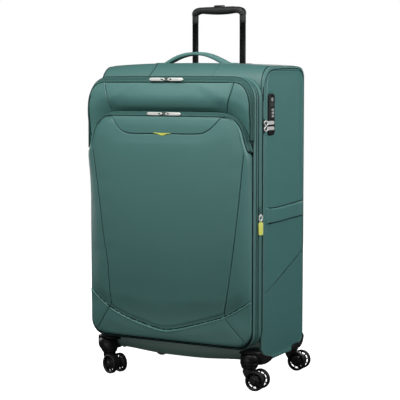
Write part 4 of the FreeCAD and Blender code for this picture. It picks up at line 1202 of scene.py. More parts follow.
def padding(x, z, depth, pinned, frames=20):
    """Swell of a padded face, in mm: Blender's cloth, with pressure and no gravity, on a coarse closed copy held along its rim and seams."""
    nu, nv = x.shape
    n = nu * nv
    front = np.stack([x, -130.0 - depth, z], -1).reshape(-1, 3)
    back = np.stack([x, np.full(x.shape, -130.3), z], -1).reshape(-1, 3)
    f = grid_faces(nu, nv) + [tuple(reversed(q)) for q in grid_faces(nu, nv, base=n)]
    rim = [i * nv for i in range(nu)] + [(nu - 1) * nv + j for j in range(1, nv)] + [i * nv + nv - 1 for i in range(nu - 2, -1, -1)] + [j for j in range(nv - 2, 0, -1)]
    for k in range(len(rim)):
        p, q = rim[k], rim[(k + 1) % len(rim)]
        f.append((p, n + p, n + q, q))
    pad = make("padding_copy", np.concatenate([front, back]), f, M_FAB)
    grp = pad.vertex_groups.new(name="held")
    hold = np.concatenate([pinned.reshape(-1), np.ones(n, bool)])
    grp.add([int(i) for i in np.nonzero(hold)[0]], 1.0, "REPLACE")
    md = pad.modifiers.new("pad", "CLOTH")
    st = md.settings
    st.quality = 6
    st.mass = 0.25
    st.tension_stiffness, st.compression_stiffness, st.shear_stiffness, st.bending_stiffness = 14.0, 14.0, 5.0, 4.0
    st.use_pressure, st.uniform_pressure_force = True, 4.0
    st.shrink_min = -0.003
    st.vertex_group_mass = "held"
    st.effector_weights.gravity = 0.0
    md.collision_settings.use_collision = False
    md.point_cache.frame_start, md.point_cache.frame_end = 1, frames
    for k in range(1, frames + 1):
        bpy.context.scene.frame_set(k)
    ev = pad.evaluated_get(bpy.context.evaluated_depsgraph_get())
    co = np.empty(len(ev.data.vertices) * 3)
    ev.data.vertices.foreach_get("co", co)
    d0 = np.empty(len(pad.data.vertices) * 3)
    pad.data.vertices.foreach_get("co", d0)
    out = (d0.reshape(-1, 3)[:n, 1] - co.reshape(-1, 3)[:n, 1]).reshape(nu, nv) * 1000.0
    me = pad.data
    bpy.data.objects.remove(pad, do_unlink=True)
    bpy.data.meshes.remove(me)
    bpy.context.scene.frame_set(1)
    out = np.clip(out, -1.0, 3.0)
    for k in range(2):
        g_ = np.pad(out, 1, mode="edge")
        g_ = 0.25 * g_[:-2] + 0.5 * g_[1:-1] + 0.25 * g_[2:]
        out = 0.25 * g_[:, :-2] + 0.5 * g_[:, 1:-1] + 0.25 * g_[:, 2:]
    return out


def sample(field, u, v):
    nu, nv = field.shape
    a_, b_ = np.clip(u, 0, 1) * (nu - 1), np.clip(v, 0, 1) * (nv - 1)
    i, j = np.minimum(a_.astype(int), nu - 2), np.minimum(b_.astype(int), nv - 2)
    s_, t_ = a_ - i, b_ - j
    return (field[i, j] * (1 - s_) + field[i + 1, j] * s_) * (1 - t_) + (field[i, j + 1] * (1 - s_) + field[i + 1, j + 1] * s_) * t_


LX, LZ = low_grid()
LD = low_depth(LX, LZ)
cz = np.linspace(112.0, 650.0, 76)
cu = np.linspace(0.0, 1.0, 58)
CX = LXL(cz)[None, :] + (LXR(cz) - LXL(cz))[None, :] * cu[:, None]
CZ = np.tile(cz[None, :], (58, 1))
held = (np.abs(CX - SEAM_R(CZ)) < 4.2) | (np.abs(CX - SEAM_L(CZ)) < 4.2) | (np.abs(CZ - vz(CX)) < 4.5) | ((np.abs(CZ - pz(CX)) < 4.0) & (np.abs(CX - 3) < 153))
held[0, :] = held[-1, :] = True
held[:, 0] = held[:, -1] = True
SWL = padding(CX, CZ, low_depth(CX, CZ), held)
soft = sample(SWL, (LX - LXL(LZ)) / (LXR(LZ) - LXL(LZ)), (LZ - 112.0) / 538.0)
for gap_, w_ in ((LX - SEAM_R(LZ), 6.0), (LX - SEAM_L(LZ), 6.0), (LZ - vz(LX), 9.0)):
    soft = soft * (1 - np.exp(-(gap_ / w_) ** 2))
soft = soft * (1 - np.exp(-((LZ - pz(LX)) / 6.0) ** 2) * ss((160 - np.abs(LX - 3)) / 8.0))
LD = LD + soft * ss((650 - LZ) / 10.0) * ss((LZ - 112) / 14.0) * ss(np.minimum(LX - LXL(LZ), LXR(LZ) - LX) / 14.0)
lower = close_bag("lower_pocket_face", LX, LZ, LD, M_FAB, "front")
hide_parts("lower_pocket")


def low_face_y(x, z):
    return -130.0 - low_depth(np.asarray(x, float), np.asarray(z, float))


# ---- upper pocket
U_RIGHT = [(176, 731.6), (188, 731.0), (200, 727.6), (209, 720), (215.5, 709), (219.5, 697), (221.6, 683), (222.4, 664), (222.4, 640), (222.4, 600), (222.4, 560)]
U_LEFT = [(-172, 731.6), (-184, 730.6), (-196, 726.5), (-206, 718), (-213, 706), (-217.5, 693), (-220, 678), (-221, 660), (-221.5, 640), (-222, 600), (-222, 560)]
UXR, UXL = smooth_through(U_RIGHT, 1.0), smooth_through(U_LEFT, 1.0)
US_R = through([(182.5, 735), (178, 716), (169.5, 690), (160, 660), (150, 630), (140, 560)])
US_L = through([(-172.5, 737), (-169, 716), (-164, 695), (-160, 678), (-157, 660), (-154, 630), (-150, 560)])
TAPE_OUT = spline([(-150, 661.5), (-100, 662), (0, 662), (100, 661.5), (150, 660.6), (168, 656.5), (184, 648.5), (198, 635.5), (209, 619), (216, 603), (222, 584), (226, 570)], 2.0)
TAPE_OUT_L = spline([(-150, 661.5), (-165, 658), (-180, 650), (-194, 637), (-204, 621), (-211, 603), (-218, 584), (-224, 570)], 2.0)
TAPE_ALL = np.vstack([TAPE_OUT_L[::-1], TAPE_OUT])


def up_grid():
    cols = [("l", t) for t in np.r_[0, 0.012, 0.035, 0.07, 0.12, np.linspace(0.2, 0.86, 9)]]
    cols += [("L", d) for d in NEAR]
    cols += [("m", t) for t in np.linspace(0.035, 0.965, 56)]
    cols += [("R", d) for d in NEAR]
    cols += [("r", t) for t in np.r_[np.linspace(0.14, 0.80, 9), 0.88, 0.93, 0.965, 0.988, 1]]
    zr = np.r_[np.linspace(566, 650, 22)[:-1], np.linspace(650, 722, 34)[:-1], np.linspace(722, 731.6, 9)]
    nc, nr = len(cols), len(zr)
    Z = np.tile(zr[None, :], (nc, 1))
    X = np.zeros((nc, nr))
    xl, xr, sl, sr = UXL(zr), UXR(zr), US_L(zr), US_R(zr)
    sl, sr = np.maximum(sl, xl + 4.0), np.minimum(sr, xr - 4.0)
    for i, (k, t) in enumerate(cols):
        wl, wr = np.minimum(9, (sl - xl) * 0.45) / 9, np.minimum(9, (xr - sr) * 0.45) / 9
        if k == "l":
            X[i] = xl + (sl - 9 * wl - xl) * t
        elif k == "L":
            X[i] = sl + t * (wl if t < 0 else 1.0)
        elif k == "m":
            X[i] = sl + 9 + (sr - sl - 18) * t
        elif k == "R":
            X[i] = sr + t * (wr if t > 0 else 1.0)
        else:
            X[i] = sr + 9 * wr + (xr - sr - 9 * wr) * t
    return X, Z


def dist_to(line, X, Z):
    best = np.full(X.shape, 1e9)
    sgn = np.ones(X.shape)
    for a in line[::2]:
        best = np.minimum(best, (X - a[0]) ** 2 + (Z - a[1]) ** 2)
    return np.sqrt(best)


def up_depth(X, Z):
    d = dist_to(TAPE_ALL, X, Z)
    below = Z < np.interp(X, TAPE_ALL[:, 0], TAPE_ALL[:, 1])
    d = np.where(below, -d, d)
    mid = ss((178 - np.abs(X - 3)) / 26.0)
    # front of the bag: full at the crest, tucked in behind the lower pocket
    t = np.clip(1.0 - d / 41.0, 0.0, 1.35)
    full = 25.6 - 6.2 * (np.clip(Z - 688, 0, None) / 43.6) ** 1.4
    dep = full - 19.2 * t ** 1.8
    sidefull = 21.6 - 2.4 * ss((Z - 708) / 26.0)
    ts = np.clip(1.0 - d / 40.0, 0.0, 1.35)
    sd = sidefull - 14.4 * ts ** 1.55
    dep = dep * mid + sd * (1 - mid)
    dep = np.maximum(dep, np.where(below, 3.0, 4.6))
    xl, xr = UXL(Z), UXR(Z)
    e = np.clip(np.minimum(X - xl, xr - X), 0, None)
    rim = np.sqrt(np.clip(1 - (1 - np.clip(e / 6.0, 0, 1)) ** 2, 0, 1))
    dep = dep - (1 - rim) * 2.4
    et = np.clip(731.6 - Z, 0, None)
    rt = np.sqrt(np.clip(1 - (1 - np.clip(et / 5.0, 0, 1)) ** 2, 0, 1))
    dep = dep - (1 - rt) * 1.2
    sl, sr = np.maximum(US_L(Z), xl + 4.0), np.minimum(US_R(Z), xr - 4.0)
    dep = dep + groove(X - sr, 1.9, 1.2, 0.35) + groove(X - sl, 1.3, 1.3, 0.25)
    dep = dep + 0.30 * hash_noise(X, Z, 61, 0.025)
    return np.maximum(dep, 1.5)


UX, UZ = up_grid()
UD = up_depth(UX, UZ)
cz = np.linspace(650.0, 731.6, 18)
cu = np.linspace(0.0, 1.0, 84)
CX = UXL(cz)[None, :] + (UXR(cz) - UXL(cz))[None, :] * cu[:, None]
CZ = np.tile(cz[None, :], (84, 1))
held = (np.abs(CX - US_R(CZ)) < 3.2) | (np.abs(CX - US_L(CZ)) < 3.2)
held[0, :] = held[-1, :] = True
held[:, 0] = held[:, -1] = True
SW = padding(CX, CZ, up_depth(CX, CZ), held)
soft = sample(SW, (UX - UXL(UZ)) / (UXR(UZ) - UXL(UZ)), (UZ - 650.0) / 81.6)
over = dist_to(TAPE_ALL, UX, UZ) * (UZ > np.interp(UX, TAPE_ALL[:, 0], TAPE_ALL[:, 1]))
soft = soft * (1 - np.exp(-((UX - US_R(UZ)) / 5.0) ** 2)) * (1 - np.exp(-((UX - US_L(UZ)) / 5.0) ** 2))
UD = UD + soft * ss(over / 12.0) * ss((731.6 - UZ) / 9.0) * ss(np.minimum(UX - UXL(UZ), UXR(UZ) - UX) / 12.0)
upper = close_bag("upper_pocket_face", UX, UZ, UD, M_FAB, "front")
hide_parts("upper_pocket")


# ------------------------------------------------------------------ pocket zips: sewn tape, coil and dark ends
def along(points, n):
    """n points at even steps along a polyline."""
    p = np.asarray(points, float)
    d = np.r_[0, np.cumsum(np.linalg.norm(np.diff(p, axis=0), axis=1))]
    t = np.linspace(0, d[-1], n)
    return np.stack([np.interp(t, d, p[:, k]) for k in range(p.shape[1])], 1)


def matched(outer_keys, inner_keys, counts):
    o, i = [], []
    for (a, b), n in zip(zip(outer_keys, inner_keys), counts):
        pa, pb = along(spline(a, 1.0) if len(a) > 2 else a, n), along(spline(b, 1.0) if len(b) > 2 else b, n)
        if o:
            pa, pb = pa[1:], pb[1:]
        o.append(pa)
        i.append(pb)
    return np.concatenate(o), np.concatenate(i)


def tape(name, outer, inner, body, crest=1.5):
    """A ribbon between two 3-D lines: two soft tape halves, with a row of coil in the groove between."""
    n = len(outer)
    t = tangents(0.5 * (outer + inner))
    across = inner - outer
    w = np.linalg.norm(across, axis=1, keepdims=True)
    nrm = np.cross(across, t)
    nrm /= np.maximum(np.linalg.norm(nrm, axis=1, keepdims=True), 1e-9)
    ref = np.array([0, -1.0, 0]) + 0.8 * np.column_stack([np.sign(outer[:, 0]) * (np.abs(outer[:, 0]) > 195), np.zeros(n), outer[:, 2] > 640])
    flip = np.sign((nrm * ref).sum(1, keepdims=True))
    nrm *= np.where(flip == 0, 1, flip)
    prof = [(-0.02, -1.9), (0.0, -1.1), (0.035, -0.35), (0.10, 0.35), (0.20, 0.8), (0.31, 0.85), (0.40, 0.45), (0.445, -0.35), (0.475, -1.25),
            (0.525, -1.25), (0.555, -0.35), (0.60, 0.45), (0.69, 0.85), (0.80, 0.8), (0.90, 0.35), (0.965, -0.35), (1.0, -1.1), (1.02, -1.9)]
    m = len(prof)
    v = np.zeros((n, m, 3))
    fat = np.clip(w / 16.0, 0.5, 1.15)
    for j, (u, h) in enumerate(prof):
        v[:, j] = outer + across * u + nrm * (h * crest / 1.5 * fat + 0.9)
    under = []
    v2 = v.copy()
    for j, (u, h) in enumerate(prof):
        v2[:, j] = outer + across * u - nrm * 1.6
    allv = np.concatenate([v.reshape(-1, 3), v2.reshape(-1, 3)])
    N = n * m
    f = grid_faces(n, m) + [tuple(reversed(q)) for q in grid_faces(n, m, base=N)]
    for i in range(n - 1):
        f.append((i * m, (i + 1) * m, N + (i + 1) * m, N + i * m))
        f.append((i * m + m - 1, N + i * m + m - 1, N + (i + 1) * m + m - 1, (i + 1) * m + m - 1))
    for j in range(m - 1):
        f.append((j, N + j, N + j + 1, j + 1))
        f.append(((n - 1) * m + j, (n - 1) * m + j + 1, N + (n - 1) * m + j + 1, N + (n - 1) * m + j))
    ob = make(name, allv, f, M_TAPE, body, sharp=60)
    pile = Pile()
    mid = outer + across * 0.5 + nrm * 0.15
    teeth(pile, mid, nrm, 1.9, 2.0, 1.1, 0.75, stagger=0.25)
    ob = pile.make(name + "_coil", M_COIL, body, smooth=False)
    # seams where the tape is sewn in
    for tag, line, off in (("outer", outer, 0.35), ("inner", inner, 0.25)):
        v, f = tube(line + nrm * off, nrm, 1.15, 6)
        ob = make(name + "_seam_" + tag, v, f, M_GAP, body)
    # threads beside each seam
    pile = Pile()
    for u in (0.16, 0.84):
        stitches(pile, outer + across * u + nrm * (0.55 * crest / 1.5 * fat + 0.95), nrm, 3.6, 2.4, 0.26)
    ob = pile.make(name + "_threads", M_THREAD, body)
    # the ends are turned in under a dark bar
    pile = Pile()
    for e, s in ((0, 1), (n - 1, -1)):
        c, a = 0.5 * (outer[e] + inner[e]), across[e]
        tt = t[e] * s
        bar = []
        for q, k in ((-0.53, 1), (0.53, 1)):
            for r, h in ((-3.2, -1.4), (-3.2, 1.6), (2.2, 1.6), (2.2, -1.4)):
                bar.append(c + a * q + tt * r + nrm[e] * h)
        bar = np.array(bar)
        f = [(0, 1, 2, 3), (7, 6, 5, 4), (0, 4, 5, 1), (1, 5, 6, 2), (2, 6, 7, 3), (3, 7, 4, 0)]
        pile.add(bar, f)
    ob = pile.make(name + "_ends", M_GAP, body, smooth=False)
    b = ob.modifiers.new("edge", "BEVEL")
    b.width, b.segments = 0.0006, 2
    return nrm


def on_upper(pts, lift=0.6):
    p = np.asarray(pts, float)
    return np.column_stack([p[:, 0], -130.0 - up_depth(p[:, 0], p[:, 1]) - lift, p[:, 1]])


def on_lower(pts, lift=0.0):
    p = np.asarray(pts, float)
    return np.column_stack([p[:, 0], -130.0 - low_depth(p[:, 0], p[:, 1]) - lift, p[:, 1]])


# upper zip: from the lid's piping down to the bag, over the top and down both sides
def lid_line(pts):
    """Points on the lid's outline (X, Z), placed at the front piping."""
    return [(x, z) for x, z in pts]


ot_r = [(225.6, 597), (225.6, 640), (225.6, 680)]
oc_r = [(225.6, 680), (224.6, 702), (219, 717.5), (210.5, 729.5), (198, 738.6), (183, 743.6), (168, 744.6)]
ot_t = [(168, 744.6), (80, 745.2), (0, 745.6), (-80, 745.4), (-165, 744.9)]
oc_l = [(-165, 744.9), (-181, 743.8), (-197, 738.2), (-210, 728.8), (-219, 716.5), (-224, 702), (-225.4, 680)]
ot_l = [(-225.4, 680), (-225.3, 640), (-225.2, 574)]
in_r = [(222.2, 597), (222.4, 640), (222.4, 664)]
ic_r = [(222.4, 664), (221.6, 683), (219.3, 697), (215.0, 709), (208.5, 719.5), (199.5, 727.0), (188, 730.8), (172, 731.8)]
in_t = [(172, 731.8), (80, 732.0), (0, 732.0), (-80, 732.0), (-168, 731.8)]
ic_l = [(-168, 731.8), (-182, 730.8), (-195, 726.8), (-205, 718.5), (-212.5, 706.5), (-217.3, 693), (-220, 678), (-221, 664)]
in_l = [(-221, 664), (-221.2, 640), (-221.4, 574)]
uo, ui = matched([ot_r, oc_r, ot_t, oc_l, ot_l], [in_r, ic_r, in_t, ic_l, in_l], [34, 34, 120, 34, 34])
uo3 = np.column_stack([uo[:, 0], np.full(len(uo), -132.2), uo[:, 1]])
ui3 = on_upper(ui, 0.2)
ui3[:, 1] = np.minimum(ui3[:, 1], -146.0)
UTN = tape("upper_pocket_tape", uo3, ui3, "front")

# lower zip: from the upper bag's face out to the lower pocket's edge
lo_t = [(168, 656.8), (150, 660.9), (80, 662), (0, 662.2), (-80, 662), (-150, 661.3), (-163, 658.4)]
li_t = [(161, 651.4), (140, 651.5), (80, 651.6), (0, 651.6), (-80, 651.6), (-140, 651.6), (-154, 651.4)]
lo_r = [(226.2, 571), (222.6, 585), (216.2, 606), (209.2, 620), (198.2, 636), (184.2, 649), (168, 656.8)]
li_r = [(216.6, 574), (211.4, 590), (206.6, 609), (200.6, 625), (193.4, 636.3), (183.2, 645.4), (172, 649.8), (161, 651.4)]
lo_l = [(-163, 658.4), (-180, 650.6), (-194, 638), (-204, 622), (-211, 604), (-218, 584.6), (-223.4, 571)]
li_l = [(-154, 651.4), (-165, 649.8), (-176, 645.3), (-187.4, 636.4), (-196.6, 625), (-203.6, 610), (-208.6, 593), (-214, 577)]
lo, li = matched([lo_r, lo_t, lo_l], [li_r, li_t, li_l], [56, 116, 52])
lo3 = on_upper(lo, 1.0)
side = ss((np.abs(lo[:, 0]) - 200) / 22.0)
lo3[:, 1] = np.minimum(lo3[:, 1], -134.8)
li3 = on_lower(li, -0.6)
LTN = tape("lower_pocket_tape", lo3, li3, "front", 1.3)
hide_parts("pocket_zip_chains")

# threads along the lower pocket's seams
pile = Pile()


def stitch_on(face, pts, lift=0.1, pitch=4.2, length=2.9, rad=0.36, xr=None):
    p = spline(pts, 1.5)
    if xr:
        p = p[(p[:, 0] > xr[0]) & (p[:, 0] < xr[1])]
    q = face(p, lift)
    h = 1.2
    gx = face(p + [h, 0], lift)[:, 1] - face(p - [h, 0], lift)[:, 1]
    gz = face(p + [0, h], lift)[:, 1] - face(p - [0, h], lift)[:, 1]
    n = np.column_stack([gx / (2 * h), -np.ones(len(p)), gz / (2 * h)])
    n /= np.linalg.norm(n, axis=1, keepdims=True)
    stitches(pile, q, n, pitch, length, rad)


V_LINE = [(-200, 201), (-190, 194), (-162.8, 178), (-129.9, 162), (-89.4, 149), (-41.8, 137.5), (-14, 132.4), (14.3, 135.4), (85.5, 155.0), (155, 178.5), (190, 198), (205, 208)]
stitch_on(on_lower, [(x, z + 3.4) for x, z in V_LINE])
stitch_on(on_lower, [(-204.5, 560), (-200, 545), (-188, 465), (-173, 347), (-165, 304), (-158.5, 215), (-157, 190)])
stitch_on(on_lower, [(208.0, 560), (206, 545), (199, 480.5), (185.5, 370), (174, 290), (163, 225), (156, 190)])
stitch_on(on_lower, [(-148.5, 640), (-141.5, 633), (-133.5, 622.8), (-121.5, 613.2), (-105.5, 606.8), (-92, 605.6), (0, 606.4), (92, 607.4), (105, 609.2), (124.8, 619), (136, 628.4), (146, 638.6)])
SEAMS = []


def dark(face, pts, rad, sink=0.1, xr=None):
    p = spline(pts, 1.5)
    if xr:
        p = p[(p[:, 0] > xr[0]) & (p[:, 0] < xr[1])]
    q = face(p, sink)
    v, f = tube(q, (0, -1, 0), rad, 6)
    SEAMS.append((v, f))


dark(on_lower, [(x, z) for x, z in VPTS[::6] if abs(x) < 219], 1.25, 0.0)
dark(on_lower, [(float(SEAM_L(z)), z) for z in np.linspace(186, 566, 34)], 1.15, 0.1)
dark(on_lower, [(float(SEAM_R(z)), z) for z in np.linspace(186, 566, 34)], 0.75, 0.0)
dark(on_lower, [(x, z) for x, z in PPTS[::4] if -149.5 < x < 152.5 and z < 650], 1.0, 0.1)
dark(on_lower, [(float(SEAM_R(z)), z) for z in np.linspace(113, 173, 12)], 1.0, 0.1)
dark(on_lower, [(float(SEAM_L(z)), z) for z in np.linspace(113, 172, 12)], 0.9, 0.1)
dark(on_upper, [(float(UXL(z)) + 3.6, z) for z in np.linspace(600, 700, 20)], 1.1, 0.1)
dark(on_upper, [(float(US_R(z)), z) for z in np.linspace(668, 729, 14)], 0.8, 0.0)
dark(on_upper, [(float(US_L(z)), z) for z in np.linspace(668, 729, 14)], 0.7, 0.0)
sp = Pile()
for v, f in SEAMS:
    sp.add(v, f)
ob = sp.make("pocket_dark_seams", M_GAP, "front")
ob = pile.make("pocket_stitches", M_THREAD, "front")

# folded yellow tab caught in the patch seam
tv = []
for x, z, k in ((-28.8, 611.2, 0), (-17, 609.6, 1), (-8.5, 606.2, 2), (-4.0, 605.2, 2), (0.5, 606.2, 2), (9, 609.6, 1), (20.6, 611.2, 0)):
    tv.append((x, z))
tv = np.array(tv)
front = on_lower(np.column_stack([tv[:, 0], np.full(len(tv), 611.0)]), 1.2)
front[:, 2] = tv[:, 1]
topl = front.copy()
topl[:, 2] = 611.6
topl[:, 1] += 0.9
tb = np.concatenate([topl, front, front + [0, 0.9, 0.3], topl + [0, 0.9, 0]])
k = len(tv)
f = grid_faces(4, k, cu=True)
f += [tuple(i * k for i in range(4)), tuple(i * k + k - 1 for i in (3, 2, 1, 0))]
ob = make("patch_tab", tb, f, M_TAB, "front", sharp=35)
# ------------------------------------------------------------------ roof seams and carry handle
def roof_z(x, y):
    x, y = np.asarray(x, float), np.asarray(y, float)
    top = Z1 - crown(x)
    r = 46.0 + 12.0 * (1 - (x / 225.0) ** 2)
    f = np.clip(Y0 + r - y, 0, r)
    b = np.clip(y - (Y1 - 28.0), 0, 28.0)
    return top - (r - np.sqrt(np.clip(r * r - f * f, 0, None))) - (28.0 - np.sqrt(784.0 - b * b))


def on_roof(pts, step=1.6, lift=0.0):
    p = spline([(x, y, 0) for x, y in pts], step)[:, :2]
    h = 0.6
    z = roof_z(p[:, 0], p[:, 1])
    gx = (roof_z(p[:, 0] + h, p[:, 1]) - roof_z(p[:, 0] - h, p[:, 1])) / (2 * h)
    gy = (roof_z(p[:, 0], p[:, 1] + h) - roof_z(p[:, 0], np.maximum(p[:, 1] - h, Y0 + 0.02))) / (2 * h)
    n = np.column_stack([-gx, -gy, np.ones(len(p))])
    n /= np.linalg.norm(n, axis=1, keepdims=True)
    return np.column_stack([p, z]) + n * lift, n


for name, pts, rad, mat in (
        ("roof_seam_left", [(-90, -11), (-86.5, -30), (-82, -50), (-79, -62), (-82, -72), (-86, -77.0), (-90, -79.6)], 1.0, M_GAP),
        ("roof_seam_right", [(86, -11), (90, -30), (95, -50), (96, -62), (93, -71), (90, -76.5), (87.5, -79.2)], 0.62, M_SHADE)):
    p, n = on_roof(pts)
    v, f = tube(p, n, rad, 6, flat=0.7)
    ob = make(name, v, f, mat, "case")
pile = Pile()
for off, pts in ((3.0, [(-90, -11), (-86.5, -30), (-82, -50), (-79, -62), (-82, -72)]), (3.0, [(86, -11), (90, -30), (95, -50), (96, -62), (93, -71)])):
    p, n = on_roof([(x + off, y) for x, y in pts], 1.6, 0.1)
    stitches(pile, p, n, 4.4, 3.0, 0.34)
ob = pile.make("roof_stitches", M_THREAD, "case")

# carry handle: a padded arch between an upper and a lower line
HO = [(-97.0, 774.8), (-91.9, 777.4), (-81.9, 783.6), (-71.8, 789.5), (-51.9, 798.6), (-32.1, 804.0), (-12.4, 806.3), (7.2, 806.9), (26.7, 805.2), (46.1, 800.8),
      (65.3, 793.4), (84.5, 784.5), (99.7, 777.0), (105.0, 774.4)]
HI = [(-94.0, 772.8), (-87.9, 774.6), (-75.9, 777.0), (-63.9, 780.8), (-51.9, 786.0), (-40.0, 790.5), (-16.3, 796.0), (7.2, 797.6), (30.6, 793.7), (53.8, 784.9),
      (66.0, 779.0), (76.0, 775.6), (88.0, 773.4), (100.0, 772.4)]
NS = 96
ho = along(spline([(x, z, 0) for x, z in HO], 1.0), NS)[:, :2]
hi = along(spline([(x, z, 0) for x, z in HI], 1.0), NS)[:, :2]
SEC = 34
sec = []
for i in range(NS):
    c, h = 0.5 * (ho[i] + hi[i]), 0.5 * (ho[i] - hi[i])
    endk = ss(min(i, NS - 1 - i) / 12.0)
    for a in np.linspace(0, 2 * math.pi, SEC, endpoint=False):
        ca, sa = math.cos(a), math.sin(a)
        u = math.copysign(abs(ca) ** 0.62, ca)
        w = math.copysign(abs(sa) ** 0.46, sa)
        y = 5.0 + 13.0 * w
        up = u * (1.0 if u > 0 else 0.86)
        # stitched edges sink a little beside the seam
        dip = 0.11 * math.exp(-((abs(y - 5.0) - 9.4) / 1.0) ** 2) * (u > 0) * endk
        q = c + h * (up - dip)
        sec.append((q[0], y, q[1]))
v = np.array(sec)
f = grid_faces(NS, SEC, cv=True)
# faces turned downwards get the darker copy: painted shade under the handle
fm = []
for q in f:
    k = [j % SEC for j in q]
    a = 2 * math.pi * (sum(k) / 4.0 + (SEC / 4.0 if (0 in k and SEC - 1 in k) else 0)) / SEC
    fm.append(1 if math.cos(a) < -0.55 else 0)
f += [tuple(range(SEC)), tuple(reversed(range((NS - 1) * SEC, NS * SEC)))]
fm += [0, 0]
arch = make("carry_handle_grip", v, f, [M_FAB, M_HANDLE_UNDER_PAINTED_SHADE], "case", face_mat=fm)
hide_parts("carry_handle")
pile = Pile()
for ys in (-4.4, 14.4):
    line, nn = [], []
    for i in range(7, NS - 7):
        c, h = 0.5 * (ho[i] + hi[i]), 0.5 * (ho[i] - hi[i])
        w = (ys - 5.0) / 13.0
        u = (1 - abs(w) ** (2 / 0.46)) ** 0.31
        q = c + h * (u - 0.10)
        line.append((q[0], ys, q[1]))
        e = h / np.linalg.norm(h)
        nn.append((e[0], 0.25 * math.copysign(1, w), e[1]))
    stitches(pile, np.array(line), np.array(nn), 4.2, 2.9, 0.36)
# the patches that sew its ends to the roof
for s, x0, x1 in ((-1, -112.0, -70.0), (1, 84.0, 114.0)):
    nx, ny = 26, 22
    g = np.zeros((nx, ny, 3))
    for i, tx in enumerate(np.linspace(-1, 1, nx)):
        for j, ty in enumerate(np.linspace(-1, 1, ny)):
            ex, ey = math.copysign(abs(tx) ** 0.8, tx), math.copysign(abs(ty) ** 0.8, ty)
            k = 1 - 0.10 * (ex * ey) ** 2
            x, y = 0.5 * (x0 + x1) + 0.5 * (x1 - x0) * ex * k, 5.0 + 15.5 * ey * k
            m = max(abs(ex), abs(ey))
            hgt = 1.5 * (1 - m ** 10) + 0.35 - 0.35 * math.exp(-((m - 0.82) / 0.05) ** 2)
            g[i, j] = (x, y, float(roof_z(x, y)) + hgt)
    low = g.copy()
    low[..., 2] -= 2.4
    vv = np.concatenate([g.reshape(-1, 3), low.reshape(-1, 3)])
    N = nx * ny
    f = grid_faces(nx, ny) + [tuple(reversed(q)) for q in grid_faces(nx, ny, base=N)]
    rim = [i * ny for i in range(nx)] + [(nx - 1) * ny + j for j in range(1, ny)] + [i * ny + ny - 1 for i in range(nx - 2, -1, -1)] + [j for j in range(ny - 2, 0, -1)]
    for k in range(len(rim)):
        a, b = rim[k], rim[(k + 1) % len(rim)]
        f.append((a, b, N + b, N + a))
    tag = "left" if s < 0 else "right"
    ob = make("carry_handle_patch_" + tag, vv, f, M_FAB, "case", sharp=60)
    if s < 0:
        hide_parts("carry_handle_mounts")
    xa, xb = (x0 + 3.5, x0 + 14) if s < 0 else (x1 - 14, x1 - 3.5)
    lo_, hi_ = x0 + 3.4, x1 - 3.4
    loop = [(lo_, -7.5), (hi_, -7.5), (hi_, 17.5), (lo_, 17.5), (lo_, -7.5)]
    q = resample(np.array(loop, float), 1.5)
    z = roof_z(q[:, 0], q[:, 1]) + 1.55
    stitches(pile, np.column_stack([q, z]), (0, 0, 1), 4.2, 2.9, 0.34)
ob = pile.make("carry_handle_stitches", M_THREAD, "case")

# ------------------------------------------------------------------ side handle
def side_x(y, z):
    """The right panel's face, without its seams."""
    e = np.minimum(np.minimum(y - Y0 - 12, Y1 - 8 - y), 40.0)
    return 225.0 + 0.9 + 1.9 * ss(e / 46.0)


SY = [-70, -60, -48, -36, -20, 5, 35, 64, 95, 120, 140, 150]
SU = [433.4, 433.3, 431.6, 430.6, 430.0, 430.2, 430.9, 431.8, 432.8, 433.6, 434.2, 434.5]
SL_ = [395.4, 395.4, 395.6, 395.9, 396.0, 396.1, 396.5, 397.2, 397.6, 397.8, 398.0, 398.0]
SH = [0.9, 1.2, 1.7, 3.4, 5.2, 6.2, 6.6, 6.6, 6.4, 5.6, 4.6, 1.6]
ny_, nz_ = 90, 36
g = np.zeros((ny_, nz_, 3))
for i, y in enumerate(np.linspace(-70, 150, ny_)):
    zu, zl, hh = np.interp(y, SY, SU), np.interp(y, SY, SL_), np.interp(y, SY, SH)
    for j, t_ in enumerate(np.linspace(0, 1, nz_)):
        e = 1 - abs(2 * t_ - 1)
        soft = (1 - (1 - min(e / 0.16, 1.0)) ** 2) ** 0.5
        seamed = -0.55 * math.exp(-((e - 0.20) / 0.035) ** 2)
        tab = 0.0
        for yc in (-66.5, -46.5):
            tab -= 0.45 * math.exp(-((y - yc) / 0.9) ** 2)
        endy = ss((y + 70) / 3.0) * ss((150 - y) / 4.0)
        hgt = (hh * (0.18 + 0.82 * soft) + seamed * (hh > 2.5) + tab) * endy + 0.15
        g[i, j] = (side_x(y, 0) + hgt, y, zl + (zu - zl) * t_)
low = g.copy()
low[..., 0] = np.minimum(low[..., 0] - 1.0, 226.6)
vv = np.concatenate([g.reshape(-1, 3), low.reshape(-1, 3)])
N = ny_ * nz_
f = grid_faces(ny_, nz_) + [tuple(reversed(q)) for q in grid_faces(ny_, nz_, base=N)]
rim = [i * nz_ for i in range(ny_)] + [(ny_ - 1) * nz_ + j for j in range(1, nz_)] + [i * nz_ + nz_ - 1 for i in range(ny_ - 2, -1, -1)] + [j for j in range(nz_ - 2, 0, -1)]
for k in range(len(rim)):
    a, b = rim[k], rim[(k + 1) % len(rim)]
    f.append((a, b, N + b, N + a))
ob = make("side_handle_pad", vv, f, M_SIDE, "case", sharp=60)
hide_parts("side_handle")
pile = Pile()
for frac_ in (0.10, 0.90):
    yy = np.linspace(-64, 142, 140)
    zu, zl, hh = np.interp(yy, SY, SU), np.interp(yy, SY, SL_), np.interp(yy, SY, SH)
    p = np.column_stack([side_x(yy, 0) + hh * 0.90 + 0.1, yy, zl + (zu - zl) * frac_])
    stitches(pile, p, (1, 0, 0), 4.2, 2.9, 0.34)
